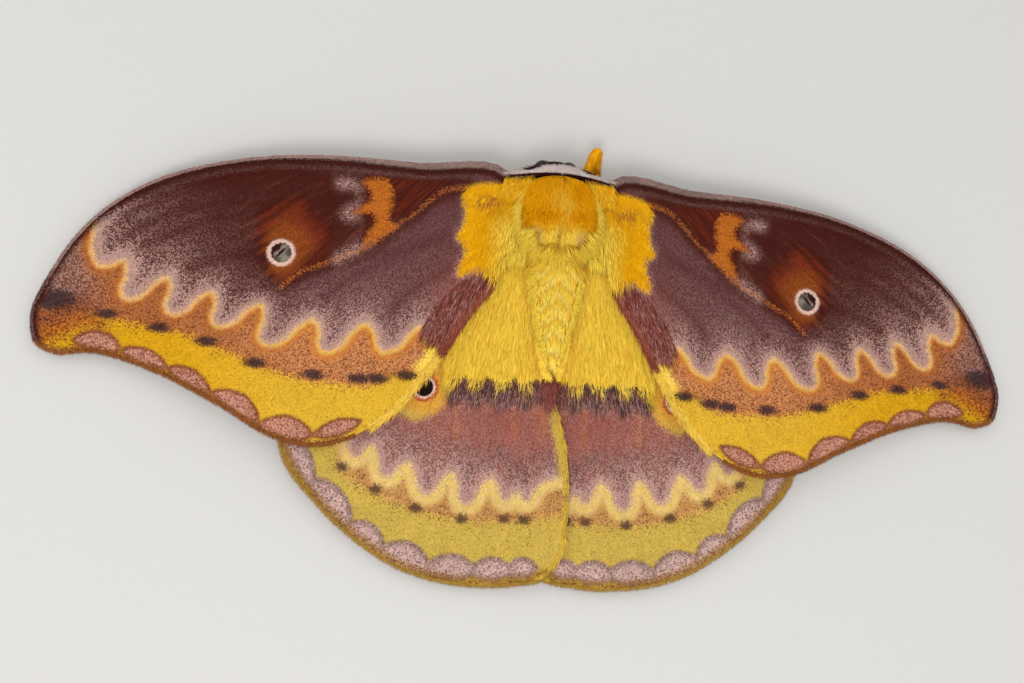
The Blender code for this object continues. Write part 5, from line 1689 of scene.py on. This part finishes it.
class MakeBody(bpy.types.Operator):
    """Skin and fur of thorax, abdomen and head, with the eyes and palps."""

    bl_idname = "moth.body"
    bl_label = "Body"

    def execute(self, context):
        body_skin()
        draw = random_numbers(GAP_FUR_SEED)
        gap_fur(draw)
        collar_fur(draw)
        for row in BODY_FUR:
            body_fur(*row)
        for side, label in ((-1, "left"), (1, "right")):
            eye(side, label)
            limb("palp_" + label, ["palp_" + label], limb_axis(PALP_ROUTE, side),
                 PALP_RADII, (colours().leg, colours().head), 260, 0.5, 20 + side)
        return {"FINISHED"}


class MakeLegs(bpy.types.Operator):
    """Six furry legs and two combed feelers."""

    bl_idname = "moth.legs"
    bl_label = "Legs and feelers"

    def execute(self, context):
        for side, label in ((-1, "left"), (1, "right")):
            for i, kind in enumerate(("foreleg", "midleg", "hindleg")):
                leg(f"{kind}_{label}", side, 30 + 2 * i + side)
            antenna(side, 50 + side)
        return {"FINISHED"}


# The camera stands where the photo was taken from, in millimetres on the moth.
CAMERA_PLACE = (-31.67, -49.5, 166.03)
CAMERA_LOOK = (0.1555, 0.2156, -0.964)
CAMERA_UP = (-0.0633, 0.9761, 0.2081)
CAMERA_LENS = 42.19
SENSOR_WIDTH = 36.0
CAMERA_REACH = (0.001, 20.0)
# Floor and lamps, in metres on the floor.
FLOOR_SIZE = 3.0
KEY_PLACE, KEY_SIZE = (-0.10, -0.28, 0.42), 0.16
SIDE_PLACE, SIDE_SIZE = (-0.45, 0.16, 0.30), 0.30


def add_object(name, data):
    """A new object in the scene."""
    made = bpy.data.objects.new(name, data)
    bpy.context.scene.collection.objects.link(made)
    return made


def lamp(name, place, size, power):
    """A square soft lamp aimed at the middle of the floor."""
    data = bpy.data.lights.new(name, "AREA")
    data.size, data.energy = size, power
    made = add_object(name, data)
    made.location = Vector(place)
    made.rotation_euler = (-Vector(place)).to_track_quat("-Z", "Y").to_euler()


class MakeStage(bpy.types.Operator):
    """Lay the pale floor, hang the lamps and set up the camera."""

    bl_idname = "moth.stage"
    bl_label = "Stage"

    def execute(self, context):
        scene, choice = context.scene, context.scene.moth_stage
        bpy.ops.mesh.primitive_plane_add(size=FLOOR_SIZE, location=(0.0, 0.0, 0.0))
        floor = context.object
        floor.name = "floor"
        look = Finish("floor_paper", Roughness=0.9, Specular_IOR_Level=0.1)
        tooth = look.noise(look.node("ShaderNodeTexCoord").outputs["Object"], 900.0, 3.0)
        paper = look.colour(look.tone(tuple(choice.floor), tooth * 0.04 + 0.98))
        floor.data.materials.append(paper)
        lamp("key_lamp", KEY_PLACE, KEY_SIZE, choice.key_power)
        lamp("side_lamp", SIDE_PLACE, SIDE_SIZE, choice.rim_power)
        scene.world = bpy.data.worlds.new("studio")
        scene.world.use_nodes = True
        light = scene.world.node_tree.nodes["Background"].inputs
        light["Color"].default_value = (1, 1, 1, 1)
        light["Strength"].default_value = choice.sky
        scene.view_settings.view_transform = "Standard"
        data = bpy.data.cameras.new("camera")
        data.sensor_fit, data.sensor_width, data.lens = "HORIZONTAL", SENSOR_WIDTH, CAMERA_LENS
        data.clip_start, data.clip_end = CAMERA_REACH
        camera = add_object("camera", data)
        back = -Vector(CAMERA_LOOK).normalized()
        right = Vector(CAMERA_UP).cross(back).normalized()
        turn = Matrix((right, back.cross(right), back)).transposed().to_4x4()
        camera.matrix_world = Matrix.Translation(to_frame(np.array(CAMERA_PLACE))) @ turn
        scene.camera = camera
        return {"FINISHED"}


OPERATORS = (MakeForewings, MakeHindwings, MakeBody, MakeLegs, MakeStage)


class MothPanel(bpy.types.Panel):
    """The buttons for every group of pieces."""

    bl_idname = "VIEW3D_PT_silk_moth"
    bl_label = "Silk moth"
    bl_space_type = "VIEW_3D"
    bl_region_type = "UI"
    bl_category = "Silk moth"

    def draw(self, context):
        for operator in OPERATORS:
            self.layout.operator(operator.bl_idname)


GROUPS = {"moth_colours": MothColours, "moth_sizes": MothSizes, "moth_stage": StageSettings}
CLASSES = (*GROUPS.values(), *OPERATORS, MothPanel)


def register():
    """Make the settings, buttons and panel known to the program."""
    for made in CLASSES:
        bpy.utils.register_class(made)
    for name, group in GROUPS.items():
        setattr(bpy.types.Scene, name, bpy.props.PointerProperty(type=group))


def unregister():
    """Take them out again."""
    for name in GROUPS:
        delattr(bpy.types.Scene, name)
    for made in reversed(CLASSES):
        bpy.utils.unregister_class(made)


def main():
    """Make every piece in order."""
    register()
    bpy.ops.moth.forewings()
    bpy.ops.moth.hindwings()
    bpy.ops.moth.body()
    bpy.ops.moth.legs()
    bpy.ops.moth.stage()


if __name__ == "__main__":
    main()
